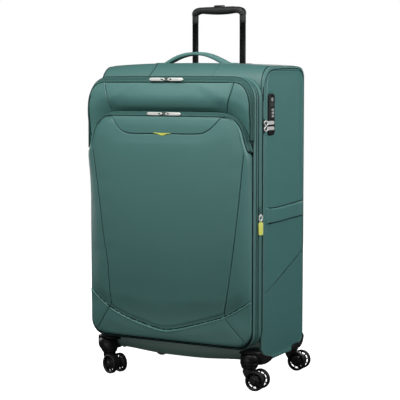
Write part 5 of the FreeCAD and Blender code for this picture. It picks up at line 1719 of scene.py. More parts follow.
for yc in (-66.5, -46.5):
    zz_ = np.linspace(398.5, 430.0, 20)
    p = np.column_stack([np.full(20, float(side_x(yc, 0)) + np.interp(yc, SY, SH) - 0.1), np.full(20, yc), zz_])
    stitches(pile, p, (1, 0, 0), 3.6, 2.6, 0.36)
ob = pile.make("side_handle_stitches", M_THREAD, "case")
# dark tubes along the pad's edges: the lower one is a painted shadow cast by the pad on the panel, the upper one a dark
# line along its upper edge
yy = np.linspace(-52, 148, 90)
for tag, tab_, off, rad in (("low", SL_, -0.7, 1.35), ("high", SU, 0.9, 1.15)):
    p = np.column_stack([side_x(yy, 0) + 0.6, yy, np.interp(yy, SY, tab_) + off])
    v, f = tube(p, (1, 0, 0), rad, 6)
    ob = make("side_handle_dark_line_and_shadow_" + tag, v, f, M_GAP, "case")

for sign, tag in ((1, "right"), (-1, "left")):
    yy = np.linspace(Y0 + 19, Y1 - 9, 90)
    p = np.column_stack([sign * (side_x(yy, 0) - 0.75), yy, 266.4 + 0.373 * (yy - YM)])
    v, f = tube(p, (sign, 0, 0), 0.72, 6)
    ob = make("side_diagonal_seam_" + tag, v, f, M_GAP, "case")
pile = Pile()
for yc in (-66.8, -46.8):
    zz_ = np.linspace(397.5, 431.5, 20)
    p = np.column_stack([np.full(20, float(side_x(yc, 0)) + np.interp(yc, SY, SH) - 0.35), np.full(20, yc), zz_])
    v, f = tube(p, (1, 0, 0), 0.55, 6)
    pile.add(v, f)
ob = pile.make("side_handle_tab_seams", M_GAP, "case")

# bold seam along the top of each side panel
SP = [(-81.0, 690), (-81.2, 705), (-80.4, 717), (-76.0, 728.5), (-71.3, 736.6), (-63.4, 746.0), (-50.8, 755.0), (-35, 760.4), (-22, 762.4), (3.6, 764.0), (36, 765.2), (70, 765.8), (104, 765.9),
      (119, 765.0), (134, 761.3), (145.3, 754.5), (151.6, 744.0), (153.4, 732), (153.6, 700), (153.6, 420), (153.6, 120)]
for sign, tag in ((1, "right"), (-1, "left")):
    q = spline([(y, z, 0) for y, z in SP], 2.0)[:, :2]
    p = np.column_stack([np.full(len(q), sign * 225.55), q])
    v, f = tube(p, (sign, 0, 0), 1.05, 6)
    ob = make("side_top_seam_" + tag, v, f, M_GAP, "case")

# ------------------------------------------------------------------ trolley: well, grip and button
def rounded(hx, y0, y1, r, n=9):
    pts, nor = [], []
    for cx, cy, a0 in ((hx - r, y1 - r, 0), (-hx + r, y1 - r, 90), (-hx + r, y0 + r, 180), (hx - r, y0 + r, 270)):
        for a in np.radians(np.linspace(a0, a0 + 90, n)):
            pts.append((cx + r * math.cos(a), cy + r * math.sin(a)))
            nor.append((math.cos(a), math.sin(a)))
    p, m = np.array(pts), np.array(nor)
    # more points along the long sides
    q, w = [], []
    for i in range(len(p)):
        k = (i + 1) % len(p)
        L_ = np.linalg.norm(p[k] - p[i])
        c = max(1, int(L_ / 6.0))
        for s_ in range(c):
            q.append(p[i] + (p[k] - p[i]) * s_ / c)
            w.append(m[i] if s_ == 0 or c == 1 else m[i] + (m[k] - m[i]) * s_ / c)
    w = np.array(w)
    return np.array(q), w / np.linalg.norm(w, axis=1, keepdims=True)


rp, rn = rounded(93.0, 107.0, 145.0, 9.0)
prof = [(0.0, -1.6, 0), (0.15, 0.35, 0), (0.9, 0.95, 0), (2.2, 1.1, 0), (3.6, 0.95, 0), (4.6, 0.4, 0), (5.2, -0.8, 0), (5.3, 757.5, 1), (5.3, 754.2, 1), (6.4, 753.4, 1),
        (6.6, 751.2, 1), (1.2, 751.2, 1), (1.0, 760.0, 1), (0.9, -3.4, 0)]
v = np.zeros((len(rp), len(prof), 3))
for j, (d, h, absolute) in enumerate(prof):
    q = rp - rn * d
    v[:, j, :2] = q
    v[:, j, 2] = h if absolute else np.minimum(roof_z(rp[:, 0], np.minimum(rp[:, 1], 140.0)) + h, 780.2)
ob = make("trolley_well", v.reshape(-1, 3), grid_faces(len(rp), len(prof), cu=True, cv=True), M_BLACK, "case", sharp=40)
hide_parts("trolley_bezel")
xs = [-86.9, -80.0, -56.6, 56.6, 80.0, 86.9]
ys = [113.1, 118.6, 133.4, 138.9]
pile = Pile()
for i in range(5):
    for j in range(3):
        if i in (1, 3) and j == 1:
            continue
        a, b, c, d = xs[i], xs[i + 1], ys[j], ys[j + 1]
        e = 0.02
        bx = [(a - e, c - e), (b + e, c - e), (b + e, d + e), (a - e, d + e)]
        vv = [(x, y, 751.4) for x, y in bx] + [(x, y, 753.0) for x, y in bx]
        pile.add(vv, [(3, 2, 1, 0), (4, 5, 6, 7), (0, 1, 5, 4), (1, 2, 6, 5), (2, 3, 7, 6), (3, 0, 4, 7)])
ob = pile.make("trolley_well_floor", M_BLACK, "case", smooth=False)

pile = Pile()
for xc in (-68.25, 68.25):
    tp, tn = rounded(7.5, 121.0, 131.0, 2.6, 6)
    zz_t = [640.0, 640.4, 700.0, 760.0, 820.0, 883.0, 883.4, 890.0, 898.0, 905.6, 906.0]
    v = np.zeros((len(tp), len(zz_t), 3))
    for j, z in enumerate(zz_t):
        k_ = 0.5 if j in (0, len(zz_t) - 1) else (-0.22 if z > 883.2 else 0.0)
        v[:, j, :2] = tp - tn * k_ + [xc, 0]
        v[:, j, 2] = z
    nb = len(tp)
    f = grid_faces(nb, len(zz_t), cu=True)
    f += [tuple(i * len(zz_t) + len(zz_t) - 1 for i in range(nb)), tuple(reversed([i * len(zz_t) for i in range(nb)]))]
    pile.add(v.reshape(-1, 3), f)
ob = pile.make("trolley_tubes_upper", M_TUBE, "trolley_inner", sharp=35)
ob.data.materials.append(M_GRIP)
for q in ob.data.polygons:
    if q.center[2] > 0.88315:
        q.material_index = 1
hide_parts("trolley_inner_tubes")

GO = [(-75.6, 903.9), (-75.3, 905.6), (-75.0, 907.6), (-73.0, 913.4), (-69.2, 918.0), (-63.0, 921.4), (-55.5, 923.2), (-46, 923.7), (-30, 924.0), (0, 924.2), (30, 924.0), (46, 923.8), (57, 923.4), (64.5, 921.8),
      (70.4, 918.4), (74.0, 913.6), (75.6, 906.4), (75.7, 905.0), (75.7, 903.9)]
GI = [(-60.4, 903.9), (-59.6, 904.2), (-58.8, 904.7), (-57.6, 905.3), (-56.0, 905.9), (-54.0, 906.4), (-51.0, 906.8), (-44.0, 906.7), (-30.0, 905.4), (0, 903.9), (30.0, 905.0), (44.5, 906.7),
      (51.0, 907.0), (54.0, 906.6), (56.4, 906.0), (58.0, 905.4), (59.4, 904.7), (60.0, 904.3), (60.6, 903.9)]


def keyed(pts, n_each):
    s = spline([(x, z, 0) for x, z in pts], 0.4)[:, :2]
    ks = [int(np.argmin(((s - np.array(p)) ** 2).sum(1))) for p in pts]
    ks[0], ks[-1] = 0, len(s) - 1
    out = []
    for a, b in zip(ks[:-1], ks[1:]):
        for t_ in np.linspace(a, b, n_each, endpoint=False):
            out.append(s[int(round(t_))])
    out.append(s[-1])
    return np.array(out)


go, gi = keyed(GO, 6), keyed(GI, 6)
m_ = len(go)
SG = 28
sec = []
for i in range(m_):
    c, h = 0.5 * (go[i] + gi[i]), 0.5 * (go[i] - gi[i])
    barness = ss((c[1] - 896.0) / 14.0)
    dep = 7.4 + 4.0 * barness
    belly = barness * ss((66 - abs(c[0])) / 22.0)
    for a in np.linspace(0, 2 * math.pi, SG, endpoint=False):
        ca, sa = math.cos(a), math.sin(a)
        k1 = 0.50 + 0.22 * belly
        u = math.copysign(abs(ca) ** k1, ca)
        w = math.copysign(abs(sa) ** 0.55, sa)
        if u < 0:
            w *= 1 - 0.26 * belly * u * u
        q = c + h * u
        sec.append((q[0], 126.0 + dep * w, q[1]))
v = np.array(sec)
f = grid_faces(m_, SG, cv=True) + [tuple(range(SG)), tuple(reversed(range((m_ - 1) * SG, m_ * SG)))]
fm = []
for q in f:
    k = [j % SG for j in q]
    i = q[0] // SG
    c = 0.5 * (go[min(i, m_ - 1)] + gi[min(i, m_ - 1)])
    a = 2 * math.pi * (sum(k) / len(k) + (SG / 4.0 if (0 in k and SG - 1 in k) else 0)) / SG
    fm.append(1 if (len(q) == 4 and math.cos(a) < -0.12 and c[1] > 905 and abs(c[0]) < 52) else 0)
ob = make("trolley_grip_body", v, f, [M_GRIP, M_INK], "trolley_inner", face_mat=fm)
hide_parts("trolley_grip")
# fine ridges on top, right of the button
pile = Pile()
for x in np.arange(22.5, 45.0, 2.1):
    p = np.array([(x, y, 924.0 - 0.010 * (y - 126) ** 2) for y in np.linspace(119.5, 132.5, 9)])
    v, f = tube(p, (0, 0, 1), 0.55, 6)
    pile.add(v, f)
ob = pile.make("trolley_grip_ridges", M_GRIP, "trolley_inner")
# the part line of the grip
v, f = tube(np.array([(x, 114.75, 913.6 + 0.0006 * x * x) for x in np.linspace(-48, 48, 40)]), (0, -1, 0), 0.28, 5)
ob = make("trolley_grip_part_line", v, f, M_INK, "trolley_inner")
# button with rounded top
bp, bn = rounded(15.5, 121.0, 131.0, 4.6, 7)
bp = bp + [1.5, 0]
prof = [(0.0, 921.0), (0.0, 925.4), (0.35, 926.6), (1.1, 927.5), (2.2, 928.0), (3.4, 928.1)]
v = np.zeros((len(bp), len(prof), 3))
for j, (d, z) in enumerate(prof):
    v[:, j, :2] = bp - bn * d
    v[:, j, 2] = z
nb = len(bp)
f = grid_faces(nb, len(prof), cu=True)
f += [tuple(i * len(prof) + len(prof) - 1 for i in range(nb)), tuple(reversed([i * len(prof) for i in range(nb)]))]
ob = make("trolley_button_cap", v.reshape(-1, 3), f, M_GLOSS, "trolley_button", sharp=40)
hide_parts("trolley_release_button")

# ------------------------------------------------------------------ expansion pull: ring and rubber tag
def plate(name, outline, hole, x0, x1, mat, body, bevel=0.5, turn=0.0, about=(0, 0)):
    """A flat tag in the Y-Z plane between two X, with an optional hole of the same number of points."""
    o = np.array(outline, float)
    n = len(o)
    if hole is not None:
        h_ = np.array(hole, float)
        loops_ = [(o, x1 - bevel), (o * 1.0, x0), (h_, x0), (h_, x1 - bevel)]
        c = o.mean(0)
        of = c + (o - c) * (1 - bevel / np.linalg.norm(o - c, axis=1, keepdims=True))
        hf = c + (h_ - c) * (1 + bevel / np.linalg.norm(h_ - c, axis=1, keepdims=True))
        loops_ = [(of, x1), (o, x1 - bevel), (o, x0), (h_, x0), (h_, x1 - bevel), (hf, x1)]
        v = np.array([[(x, q[0], q[1]) for q in L_] for L_, x in loops_]).reshape(-1, 3)
        f = grid_faces(len(loops_), n, cu=True, cv=True)
    else:
        c = o.mean(0)
        of = c + (o - c) * (1 - bevel / np.linalg.norm(o - c, axis=1, keepdims=True))
        loops_ = [(of, x0), (o, x0 + bevel), (o, x1 - bevel), (of, x1)]
        v = np.array([[(x, q[0], q[1]) for q in L_] for L_, x in loops_]).reshape(-1, 3)
        f = grid_faces(len(loops_), n, cv=True)
        f += [tuple(range(n)), tuple(reversed(range(3 * n, 4 * n)))]
    ca, sa = math.cos(turn), math.sin(turn)
    dx, dy = v[:, 0] - about[0], v[:, 1] - about[1]
    v[:, 0], v[:, 1] = about[0] + ca * dx - sa * dy, about[1] + sa * dx + ca * dy
    ob = make(name, v, f, mat, body, sharp=35)
    return ob


def hexagon(cy, cz, ry, rz, n=6, rot=30, soft=0.82, m=8):
    k = [(cy + ry * math.cos(math.radians(a)), cz + rz * math.sin(math.radians(a))) for a in range(rot, 360 + rot, 360 // n)]
    out = []
    for i in range(n):
        a, b = np.array(k[i]), np.array(k[(i + 1) % n])
        for t_ in np.linspace(0, 1, m, endpoint=False):
            q = a + (b - a) * t_
            e = min(t_, 1 - t_)
            r = 1 - 0.045 * max(0, 1 - e / 0.18)
            out.append((cy + (q[0] - cy) * r, cz + (q[1] - cz) * r))
    return out


TURN = math.radians(-30)
AX = (230.8, -104.2)
plate("expansion_pull_ring", hexagon(-104.2, 413.6, 6.4, 9.8), hexagon(-104.2, 414.0, 3.3, 5.4), 229.9, 232.0, M_METAL, "expansion_pull",
      0.5, TURN, AX)
rr = []
for cy, cz, a0 in ((2.9, 12.0, 0), (-2.9, 12.0, 90), (-2.9, -12.0, 180), (2.9, -12.0, 270)):
    for a in np.radians(np.linspace(a0, a0 + 90, 7)):
        rr.append((-104.2 + cy * 1.0 + 3.2 * math.cos(a), 388.2 + cz + 3.2 * math.sin(a)))
ob = plate("expansion_pull_tag", rr, None, 229.4, 232.6, M_NEON, "expansion_pull", 0.8, TURN, AX)
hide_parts("expansion_pull")
pile = Pile()
for k_ in range(5):
    z = 380.0 + k_ * 4.2
    p = np.array([(232.65, y, z) for y in np.linspace(-107.2, -101.2, 6)])
    v, f = tube(p, (1, 0, 0), 0.35, 6)
    ca, sa = math.cos(TURN), math.sin(TURN)
    dx, dy = v[:, 0] - AX[0], v[:, 1] - AX[1]
    v[:, 0], v[:, 1] = AX[0] + ca * dx - sa * dy, AX[1] + sa * dx + ca * dy
    pile.add(v, f)
ob = pile.make("expansion_pull_ribs", M_NEON, "expansion_pull")

# ------------------------------------------------------------------ lock: stripe
pile = Pile()
v, f = tube(np.array([(230.05, -53.2, z) for z in np.linspace(612, 699, 40)]), (1, 0, 0), 0.55, 6)
pile.add(v, f)
ob = pile.make("lock_stripe", M_EDGE, "case")


# ------------------------------------------------------------------ the back: seams of the trolley's channel and of the lining's opening
wm_ = tub_wrap.data
bvh_back = BVHTree.FromPolygons([q.co[:] for q in wm_.vertices], [tuple(q.vertices) for q in wm_.polygons])


def back_y(x, z):
    o = P(x, 400.0, z)
    hit = bvh_back.ray_cast(Vector(o), Vector((0, -1, 0)))
    return 1000.0 * (hit[0][1] - OY) if hit[0] is not None else 158.0


def on_back(pts, lift):
    return np.array([(x, back_y(x, z) + lift, z) for x, z in pts])


dpile, spile = Pile(), Pile()
for s_ in (-1, 1):
    line = spline([(s_ * 96.0, 736.0), (s_ * 96.0, 500.0), (s_ * 96.0, 300.0), (s_ * 96.0, 150.0), (s_ * 99.0, 132.0), (s_ * 108.0, 122.0), (s_ * 122.0, 118.0), (s_ * 214.0, 118.0)], 4.0)
    q = on_back(line, 0.0)
    v, f = tube(q, (0, 1, 0), 0.9, 6)
    dpile.add(v, f)
    q = on_back([(a - s_ * 3.2 if b > 140 else a, b if b > 140 else b + 3.2) for a, b in line], 0.12)
    stitches(spile, q[::1], (0, 1, 0), 4.4, 3.0, 0.36)
line = [(x, 640.0) for x in np.linspace(-93.0, 93.0, 60)]
v, f = tube(on_back(line, 0.0), (0, 1, 0), 0.9, 6)
dpile.add(v, f)
stitches(spile, on_back([(a, b + 3.2) for a, b in line], 0.12), (0, 1, 0), 4.4, 3.0, 0.36)
ob = dpile.make("back_seams", M_GAP, "case")
ob = spile.make("back_stitches", M_THREAD, "case")


# ------------------------------------------------------------------ what the CAD pieces are made of
def paint(mat, *names):
    for nme in names:
        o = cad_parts[nme]
        if o.data.materials:
            for i in range(len(o.data.materials)):
                o.data.materials[i] = mat
        else:
            o.data.materials.append(mat)


paint(M_SPRING, "frame_hoop")
paint(M_BOARD, "back_board", "base_tray")
paint(M_TUBE, "trolley_outer_tubes", "trolley_middle_tubes")
paint(M_GUN, "main_zip_sliders")
paint(M_COIL, "expansion_slider")
for a in ("upper", "lower"):
    for b in ("left", "right"):
        paint(M_SLIDER, "zip_slider_%s_%s" % (a, b))
paint(M_BLACK, "lock_body")
paint(M_DIAL, "lock_dial_1", "lock_dial_2", "lock_dial_3")
paint(M_EDGE, "lock_button")
paint(M_DIAL2, "lock_key_cylinder")
paint(M_STEEL, "housing_screws")
for a in ("front", "back"):
    for b in ("left", "right"):
        t_ = "%s_%s" % (a, b)
        paint(M_CAST, "caster_fork_" + t_)
        paint(M_TYRE, "caster_axle_" + t_)
# ------------------------------------------------------------------ casters: wheels, cups and corner guards
def lathe(profile, centre, axis=(0, 0, 1), n=48):
    """Closed profile of (radius, height) turned about an axis."""
    c, ax = np.array(centre, float), np.array(axis, float)
    ax /= np.linalg.norm(ax)
    ref = np.array([0, 0, 1.0]) if abs(ax[2]) < 0.9 else np.array([1.0, 0, 0])
    u = np.cross(ref, ax)
    u /= np.linalg.norm(u)
    w = np.cross(ax, u)
    v = []
    for a in np.linspace(0, 2 * math.pi, n, endpoint=False):
        e = math.cos(a) * u + math.sin(a) * w
        for r, h in profile:
            v.append(c + e * r + ax * h)
    return np.array(v), grid_faces(n, len(profile), cu=True, cv=True)


def wheel_visual(name, body, centre, ax):
    c, ax = np.array(centre, float), np.array(ax, float)
    ax /= np.linalg.norm(ax)
    u = np.cross([0, 0, 1.0], ax)
    u /= np.linalg.norm(u)
    w = np.cross(ax, u)
    # tyre, with soft shoulders, a groove each side and the rim inside it
    prof = [(19.4, -4.6), (20.6, -5.6), (21.2, -5.9), (21.7, -5.5), (22.3, -5.8), (23.2, -5.3), (23.75, -4.2), (23.9, -2.0), (23.95, 0.0), (23.9, 2.0),
            (23.75, 4.2), (23.2, 5.3), (22.3, 5.8), (21.7, 5.5), (21.2, 5.9), (20.6, 5.6), (19.4, 4.6), (18.7, 3.6), (18.5, 0.0), (18.7, -3.6)]
    v, f = lathe(prof, c, ax, 64)
    ob = make(name + "_tyre", v, f, M_TYRE, body, sharp=35)
    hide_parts(name)
    pile = Pile()
    hub = [(2.75, -5.0), (5.2, -5.2), (6.2, -4.6), (7.0, -3.8), (10.5, -3.3), (12.8, -3.0), (13.4, -2.2), (13.4, 2.2), (12.8, 3.0), (10.5, 3.3), (7.0, 3.8), (6.2, 4.6), (5.2, 5.2), (2.75, 5.0)]
    v, f = lathe(hub, c, ax, 48)
    pile.add(v, f)
    ns = 9
    for k in range(ns):
        a = 2 * math.pi * (k + 0.25) / ns
        e = math.cos(a) * u + math.sin(a) * w
        s_ = np.cross(ax, e)
        vv = []
        for r, hw, hh in ((12.6, 1.75, 2.7), (14.2, 1.25, 2.5), (17.4, 1.25, 2.9), (19.2, 1.9, 3.4)):
            for p, q in ((-1, -0.7), (-0.7, -1), (0.7, -1), (1, -0.7), (1, 0.7), (0.7, 1), (-0.7, 1), (-1, 0.7)):
                vv.append(c + e * r + s_ * hw * p + ax * hh * q)
        ff = grid_faces(4, 8, cv=True) + [tuple(range(8)), tuple(reversed(range(24, 32)))]
        pile.add(np.array(vv), ff)
        # ribs on the hub's face, both sides
        for sd in (-1, 1):
            vv = []
            for r in (6.6, 12.8):
                for p, q in ((-0.55, 0), (-0.35, 0.75), (0.35, 0.75), (0.55, 0)):
                    vv.append(c + e * r + s_ * p + ax * sd * (2.9 + (0.75 if r < 8 else 0.05) + q))
            pile.add(np.array(vv), [(0, 1, 2, 3), (7, 6, 5, 4), (0, 4, 5, 1), (1, 5, 6, 2), (2, 6, 7, 3), (3, 7, 4, 0)])
    ob = pile.make(name + "_rim", M_CAST, body, sharp=35)


for tag in ("front_right", "front_left", "back_right", "back_left"):
    cs = {}
    for io in ("inner", "outer"):
        a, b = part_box("wheel_%s_%s" % (io, tag))
        cs[io] = np.array([500.0 * (a.x + b.x) - 1000 * OX, 500.0 * (a.y + b.y) - 1000 * OY, 500.0 * (a.z + b.z)])
    ax = cs["inner"] - cs["outer"]
    for io in ("inner", "outer"):
        wheel_visual("wheel_%s_%s" % (io, tag), "wheel_%s_%s" % (io, tag), cs[io], ax)


def under_z(y):
    """Height of the case's underside at Y."""
    y = np.asarray(y, float)
    f = np.clip(-64.0 - y, 0, 20.0)
    b = np.clip(y - 128.0, 0, 30.0)
    z = 62.0 + (20.0 - np.sqrt(400.0 - f * f)) + (30.0 - np.sqrt(900.0 - b * b))
    return np.where(y < -84.0, 200.0, np.where(y > 158.0, 200.0, z))


def mirror_x(v, s):
    v = np.array(v, float)
    if s < 0:
        v[:, 0] *= -1
    return v


for s, side_ in ((1, "right"), (-1, "left")):
    # front: cup over the stem
    cup = [(15.9, 50.2), (17.0, 50.0), (17.9, 50.8), (18.6, 52.6), (20.4, 56.5), (22.8, 61.5), (24.2, 66.0), (24.7, 71.0), (24.6, 76.0), (23.8, 80.5),
           (22.4, 84.0), (20.0, 86.5), (12.0, 87.5), (7.6, 87.5), (7.6, 68.2), (15.0, 60.0), (15.9, 55.0)]
    v, f = lathe(cup, (0, 0, 0), (0, 0, 1), 56)
    k = ss((v[:, 2] - 52) / 22.0)
    v[:, 0] += 197.5 + 3.6 * k
    v[:, 1] += -94.0 - 1.0 * k
    v[:, 2] = np.minimum(v[:, 2], under_z(v[:, 1]) + 1.0)
    pile = Pile()
    pile.add(mirror_x(v, s), f)
    # two shallow steps round the cup
    for z0, r0 in ((63.0, 23.55), (54.6, 19.75)):
        a = np.radians(np.linspace(120, 420, 60))
        kk = float(ss((z0 - 52) / 22.0))
        p = np.column_stack([197.5 + 3.6 * kk + r0 * np.cos(a), -94.0 - kk + r0 * np.sin(a), np.full(60, z0)])
        p = p[p[:, 1] < -85.0]
        if len(p) > 3:
            p = p[np.argsort(p[:, 0])]
            v, f = tube(p, (0, -1, 0), 0.55, 6)
            pile.add(mirror_x(v, s), f)
    ob = pile.make("caster_cup_front_" + side_, M_CAST, "case", sharp=38)
    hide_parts("caster_housing_front_" + side_)
    # guard round the corner: side wing and front rim in one ribbon
    path = [(229.0, -29.5, 68.6, 64.4), (229.3, -34.0, 71.2, 61.4), (229.4, -46.0, 74.4, 59.3), (229.5, -65.0, 79.5, 58.2), (229.6, -80.0, 84.8, 59.4), (229.5, -90.0, 89.2, 64.0),
            (227.6, -98.5, 92.0, 72.0), (222.0, -106.5, 93.6, 80.5), (212.5, -111.8, 94.2, 86.0), (200.5, -113.6, 93.6, 87.0), (188.5, -111.6, 92.0, 86.2),
            (179.5, -106.6, 90.2, 84.8), (173.2, -99.6, 88.4, 83.8), (169.6, -92.0, 87.2, 83.4), (168.2, -85.0, 86.6, 83.2)]
    pp = spline(path, 1.6)
    tt = tangents(np.column_stack([pp[:, :2], np.zeros(len(pp))]))
    nn = np.column_stack([tt[:, 1], -tt[:, 0]])          # to the right of the direction of travel
    if nn[0, 0] < 0:
        nn = -nn
    ring_ = []
    for i in range(len(pp)):
        x, y, zt, zb = pp[i]
        o, h = nn[i], zt - zb
        front_k = float(ss((-y - 86.0) / 14.0))
        back_reach = (y + 84.4) if y < -84.4 else 0.0
        r = min(2.6, 0.35 * h)
        for dn, z in ((0.0, zt - r), (-0.55, zt - 0.4 * r), (-1.9, zt), (-3.6, zt), (-3.6, zb + 0.4), (-1.5, zb), (-0.5, zb + 0.5 * r), (0.0, zb + r)):
            ring_.append((x + o[0] * dn, y + o[1] * dn, z))
    v = np.array(ring_)
    f = grid_faces(len(pp), 8, cv=True) + [tuple(range(8)), tuple(reversed(range(8 * (len(pp) - 1), 8 * len(pp))))]
    ob = make("caster_guard_front_" + side_, mirror_x(v, s), f, M_CAST, "case", sharp=40)
    # its top, back to the case, and the plate under the case
    sel = pp[pp[:, 1] < -84.2]
    m_ = len(sel)
    top = []
    for zo in (-0.8, -3.2):
        for t_ in np.linspace(0, 1, 6):
            for i in range(m_):
                x, y, zt, zb = sel[i]
                y2 = (y + 1.2) * (1 - t_) + (-83.2) * t_
                top.append((x + (200 - x) * 0.05 + 0.0, y2, zt + zo))
    v = np.array(top)
    n1 = 6 * m_
    f = grid_faces(6, m_) + [tuple(reversed(q)) for q in grid_faces(6, m_, base=n1)]
    rim = [j for j in range(m_)] + [i * m_ + m_ - 1 for i in range(1, 6)] + [5 * m_ + j for j in range(m_ - 2, -1, -1)] + [i * m_ for i in range(4, 0, -1)]
    for i in range(len(rim)):
        a, b = rim[i], rim[(i + 1) % len(rim)]
        f.append((a, b, n1 + b, n1 + a))
    ob = make("caster_guard_top_front_" + side_, mirror_x(v, s), f, M_CAST, "case", sharp=40)
    xs_, ys_ = np.linspace(176.0, 227.6, 14), np.linspace(-86.0, -33.0, 14)
    g = np.zeros((14, 14, 3))
    for i, x in enumerate(xs_):
        for j, y in enumerate(ys_):
            e = min((x - 176.0) / 6.0, (y + 33.0) / -6.0, 1.0)
            g[i, j] = (x, y, 58.4 + 2.4 * (1 - math.sqrt(max(0.0, 1 - (1 - max(e, 0.0)) ** 2))) + 1.2 * float(ss((x - 221) / 7.0)))
    hi_g = g.copy()
    hi_g[..., 2] = 62.6
    vv = np.concatenate([g.reshape(-1, 3), hi_g.reshape(-1, 3)])
    f = grid_faces(14, 14) + [tuple(reversed(q)) for q in grid_faces(14, 14, base=196)]
    rim = [i * 14 for i in range(14)] + [13 * 14 + j for j in range(1, 14)] + [i * 14 + 13 for i in range(12, -1, -1)] + [j for j in range(12, 0, -1)]
    for i in range(len(rim)):
        a, b = rim[i], rim[(i + 1) % len(rim)]
        f.append((a, b, 196 + b, 196 + a))
    keep = [q for q in f if not all(math.hypot(vv[i][0] - 197.5, vv[i][1] + 94.0) < 14.0 for i in q)]
    ob = make("caster_plate_front_" + side_, mirror_x(vv, s), keep, M_CAST, "case", sharp=40)

    # back: cup and corner guard
    cup = [(15.9, 50.2), (17.0, 50.0), (17.9, 50.8), (18.6, 52.6), (20.4, 56.5), (22.4, 60.5), (23.0, 64.0), (23.2, 70.0), (21.0, 73.0), (12.0, 74.0), (7.6, 74.0), (7.6, 68.2), (15.0, 60.0), (15.9, 55.0)]
    v, f = lathe(cup, (0, 0, 0), (0, 0, 1), 56)
    v[:, 0] += 197.5
    v[:, 1] += 150.0
    v[:, 2] = np.minimum(v[:, 2], under_z(v[:, 1]) + 1.0)
    pile = Pile()
    pile.add(mirror_x(v, s), f)
    ob = pile.make("caster_cup_back_" + side_, M_CAST, "case", sharp=38)
    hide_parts("caster_housing_back_" + side_)
    line = []
    for z in np.linspace(93.0, 92.0, 3):
        line.append((158.0, z, 1.0, 0.0))
    for a in np.radians(np.linspace(0, -90, 26)):
        line.append((128.0 + 30.0 * math.cos(a), 92.0 + 30.0 * math.sin(a), math.cos(a), math.sin(a)))
    for y in np.linspace(126.0, 88.0, 16):
        line.append((y, 62.0, 0.0, -1.0))
    line = np.array(line)
    d_ = np.r_[0, np.cumsum(np.hypot(np.diff(line[:, 0]), np.diff(line[:, 1])))]
    wid = np.interp(d_ / d_[-1], [0, 0.05, 0.2, 0.45, 0.62, 0.9, 0.96, 1.0], [1.4, 3.4, 6.2, 11.0, 14.0, 13.4, 11.0, 7.0])
    outk = np.interp(d_ / d_[-1], [0, 0.06, 0.94, 1.0], [0.4, 1.0, 1.0, 0.4])
    ring_ = []
    for (y, z, ny, nz), w_, k_ in zip(line, wid, outk):
        for x, n_ in ((186.0, 2.2), (200.0, 2.3), (222.0, 2.4), (226.6, 1.9), (228.9, 0.7), (229.5, -1.2), (229.5, -w_ + 1.2), (228.7, -w_ + 0.1), (225.0, -w_), (224.6, -1.0), (222.0, -0.2), (186.0, -0.2)):
            n2 = n_ * k_ if n_ > 0 else n_
            xx = 226.0 + (x - 226.0) * (k_ if x > 226 else 1.0)
            ring_.append((xx, y + ny * n2, z + nz * n2))
    v = np.array(ring_)
    nr_ = len(line)
    f = grid_faces(nr_, 12, cv=True) + [tuple(range(12)), tuple(reversed(range(12 * (nr_ - 1), 12 * nr_)))]
    ob = make("caster_guard_back_" + side_, mirror_x(v, s), f, M_CAST, "case", sharp=38)

# ------------------------------------------------------------------ front pulls
def pull_plate(name, body, x_in, x_out, yc, zc, replaced, thick=1.9, hgt=7.6):
    """Six-sided pull lying along X, with a dark slot near its inner end."""
    d = 1 if x_out > x_in else -1
    L_ = abs(x_out - x_in)
    out = [(0.0, 0.0), (3.4, hgt / 2 * 0.72), (6.0, hgt / 2 * 0.96), (11.0, hgt / 2), (L_ * 0.6, hgt / 2), (L_ - 7.5, hgt / 2), (L_ - 4.4, hgt / 2 * 0.93), (L_ - 1.2, hgt / 2 * 0.30), (L_, 0.0)]
    pts = out + [(a, -b) for a, b in reversed(out[1:-1])]
    pts = resample(np.array(pts, float), 1.1, True)
    n = len(pts)
    # the slot, with as many points as the outline
    ang = np.arctan2(pts[:, 1], (pts[:, 0] - 9.0) / 1.0)
    hole = np.column_stack([8.6 + 3.5 * np.sign(np.cos(ang)) * np.abs(np.cos(ang)) ** 0.7, 1.9 * np.sign(np.sin(ang)) * np.abs(np.sin(ang)) ** 0.7])
    c = np.array([L_ * 0.5, 0.0])

    def shrink(p, k):
        e = p.copy()
        e[:, 1] *= 1 - k / (hgt / 2)
        e[:, 0] = c[0] + (e[:, 0] - c[0]) * (1 - k / c[0])
        return e

    rings_ = [(shrink(pts, 0.75), yc - thick / 2), (shrink(pts, 0.22), yc - thick / 2 + 0.22), (pts, yc - thick / 2 + 0.7), (pts, yc + thick / 2 - 0.3), (shrink(pts, 0.3), yc + thick / 2),
              (hole, yc + thick / 2), (hole, yc - thick / 2 + 0.3), (hole * [1, 1] + (hole - [8.6, 0]) * 0.12, yc - thick / 2)]
    v = np.array([[(x_in + d * q[0], y, zc + q[1]) for q in R_] for R_, y in rings_]).reshape(-1, 3)
    f = grid_faces(len(rings_), n, cu=True, cv=True)
    ob = make(name, v, f, M_METAL, body, sharp=32)
    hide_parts(replaced)


pull_plate("pull_bar_upper_left", "pull_upper_left", 0.7, -42.9, -154.9, 739.2, "zip_pull_upper_left")
pull_plate("pull_bar_upper_right", "pull_upper_right", 7.5, 51.0, -154.9, 739.2, "zip_pull_upper_right")
pull_plate("pull_bar_lower_left", "pull_lower_left", -3.9, -47.4, -159.0, 657.2, "zip_pull_lower_left")
pull_plate("pull_bar_lower_right", "pull_lower_right", 3.1, 46.8, -159.0, 657.2, "zip_pull_lower_right")

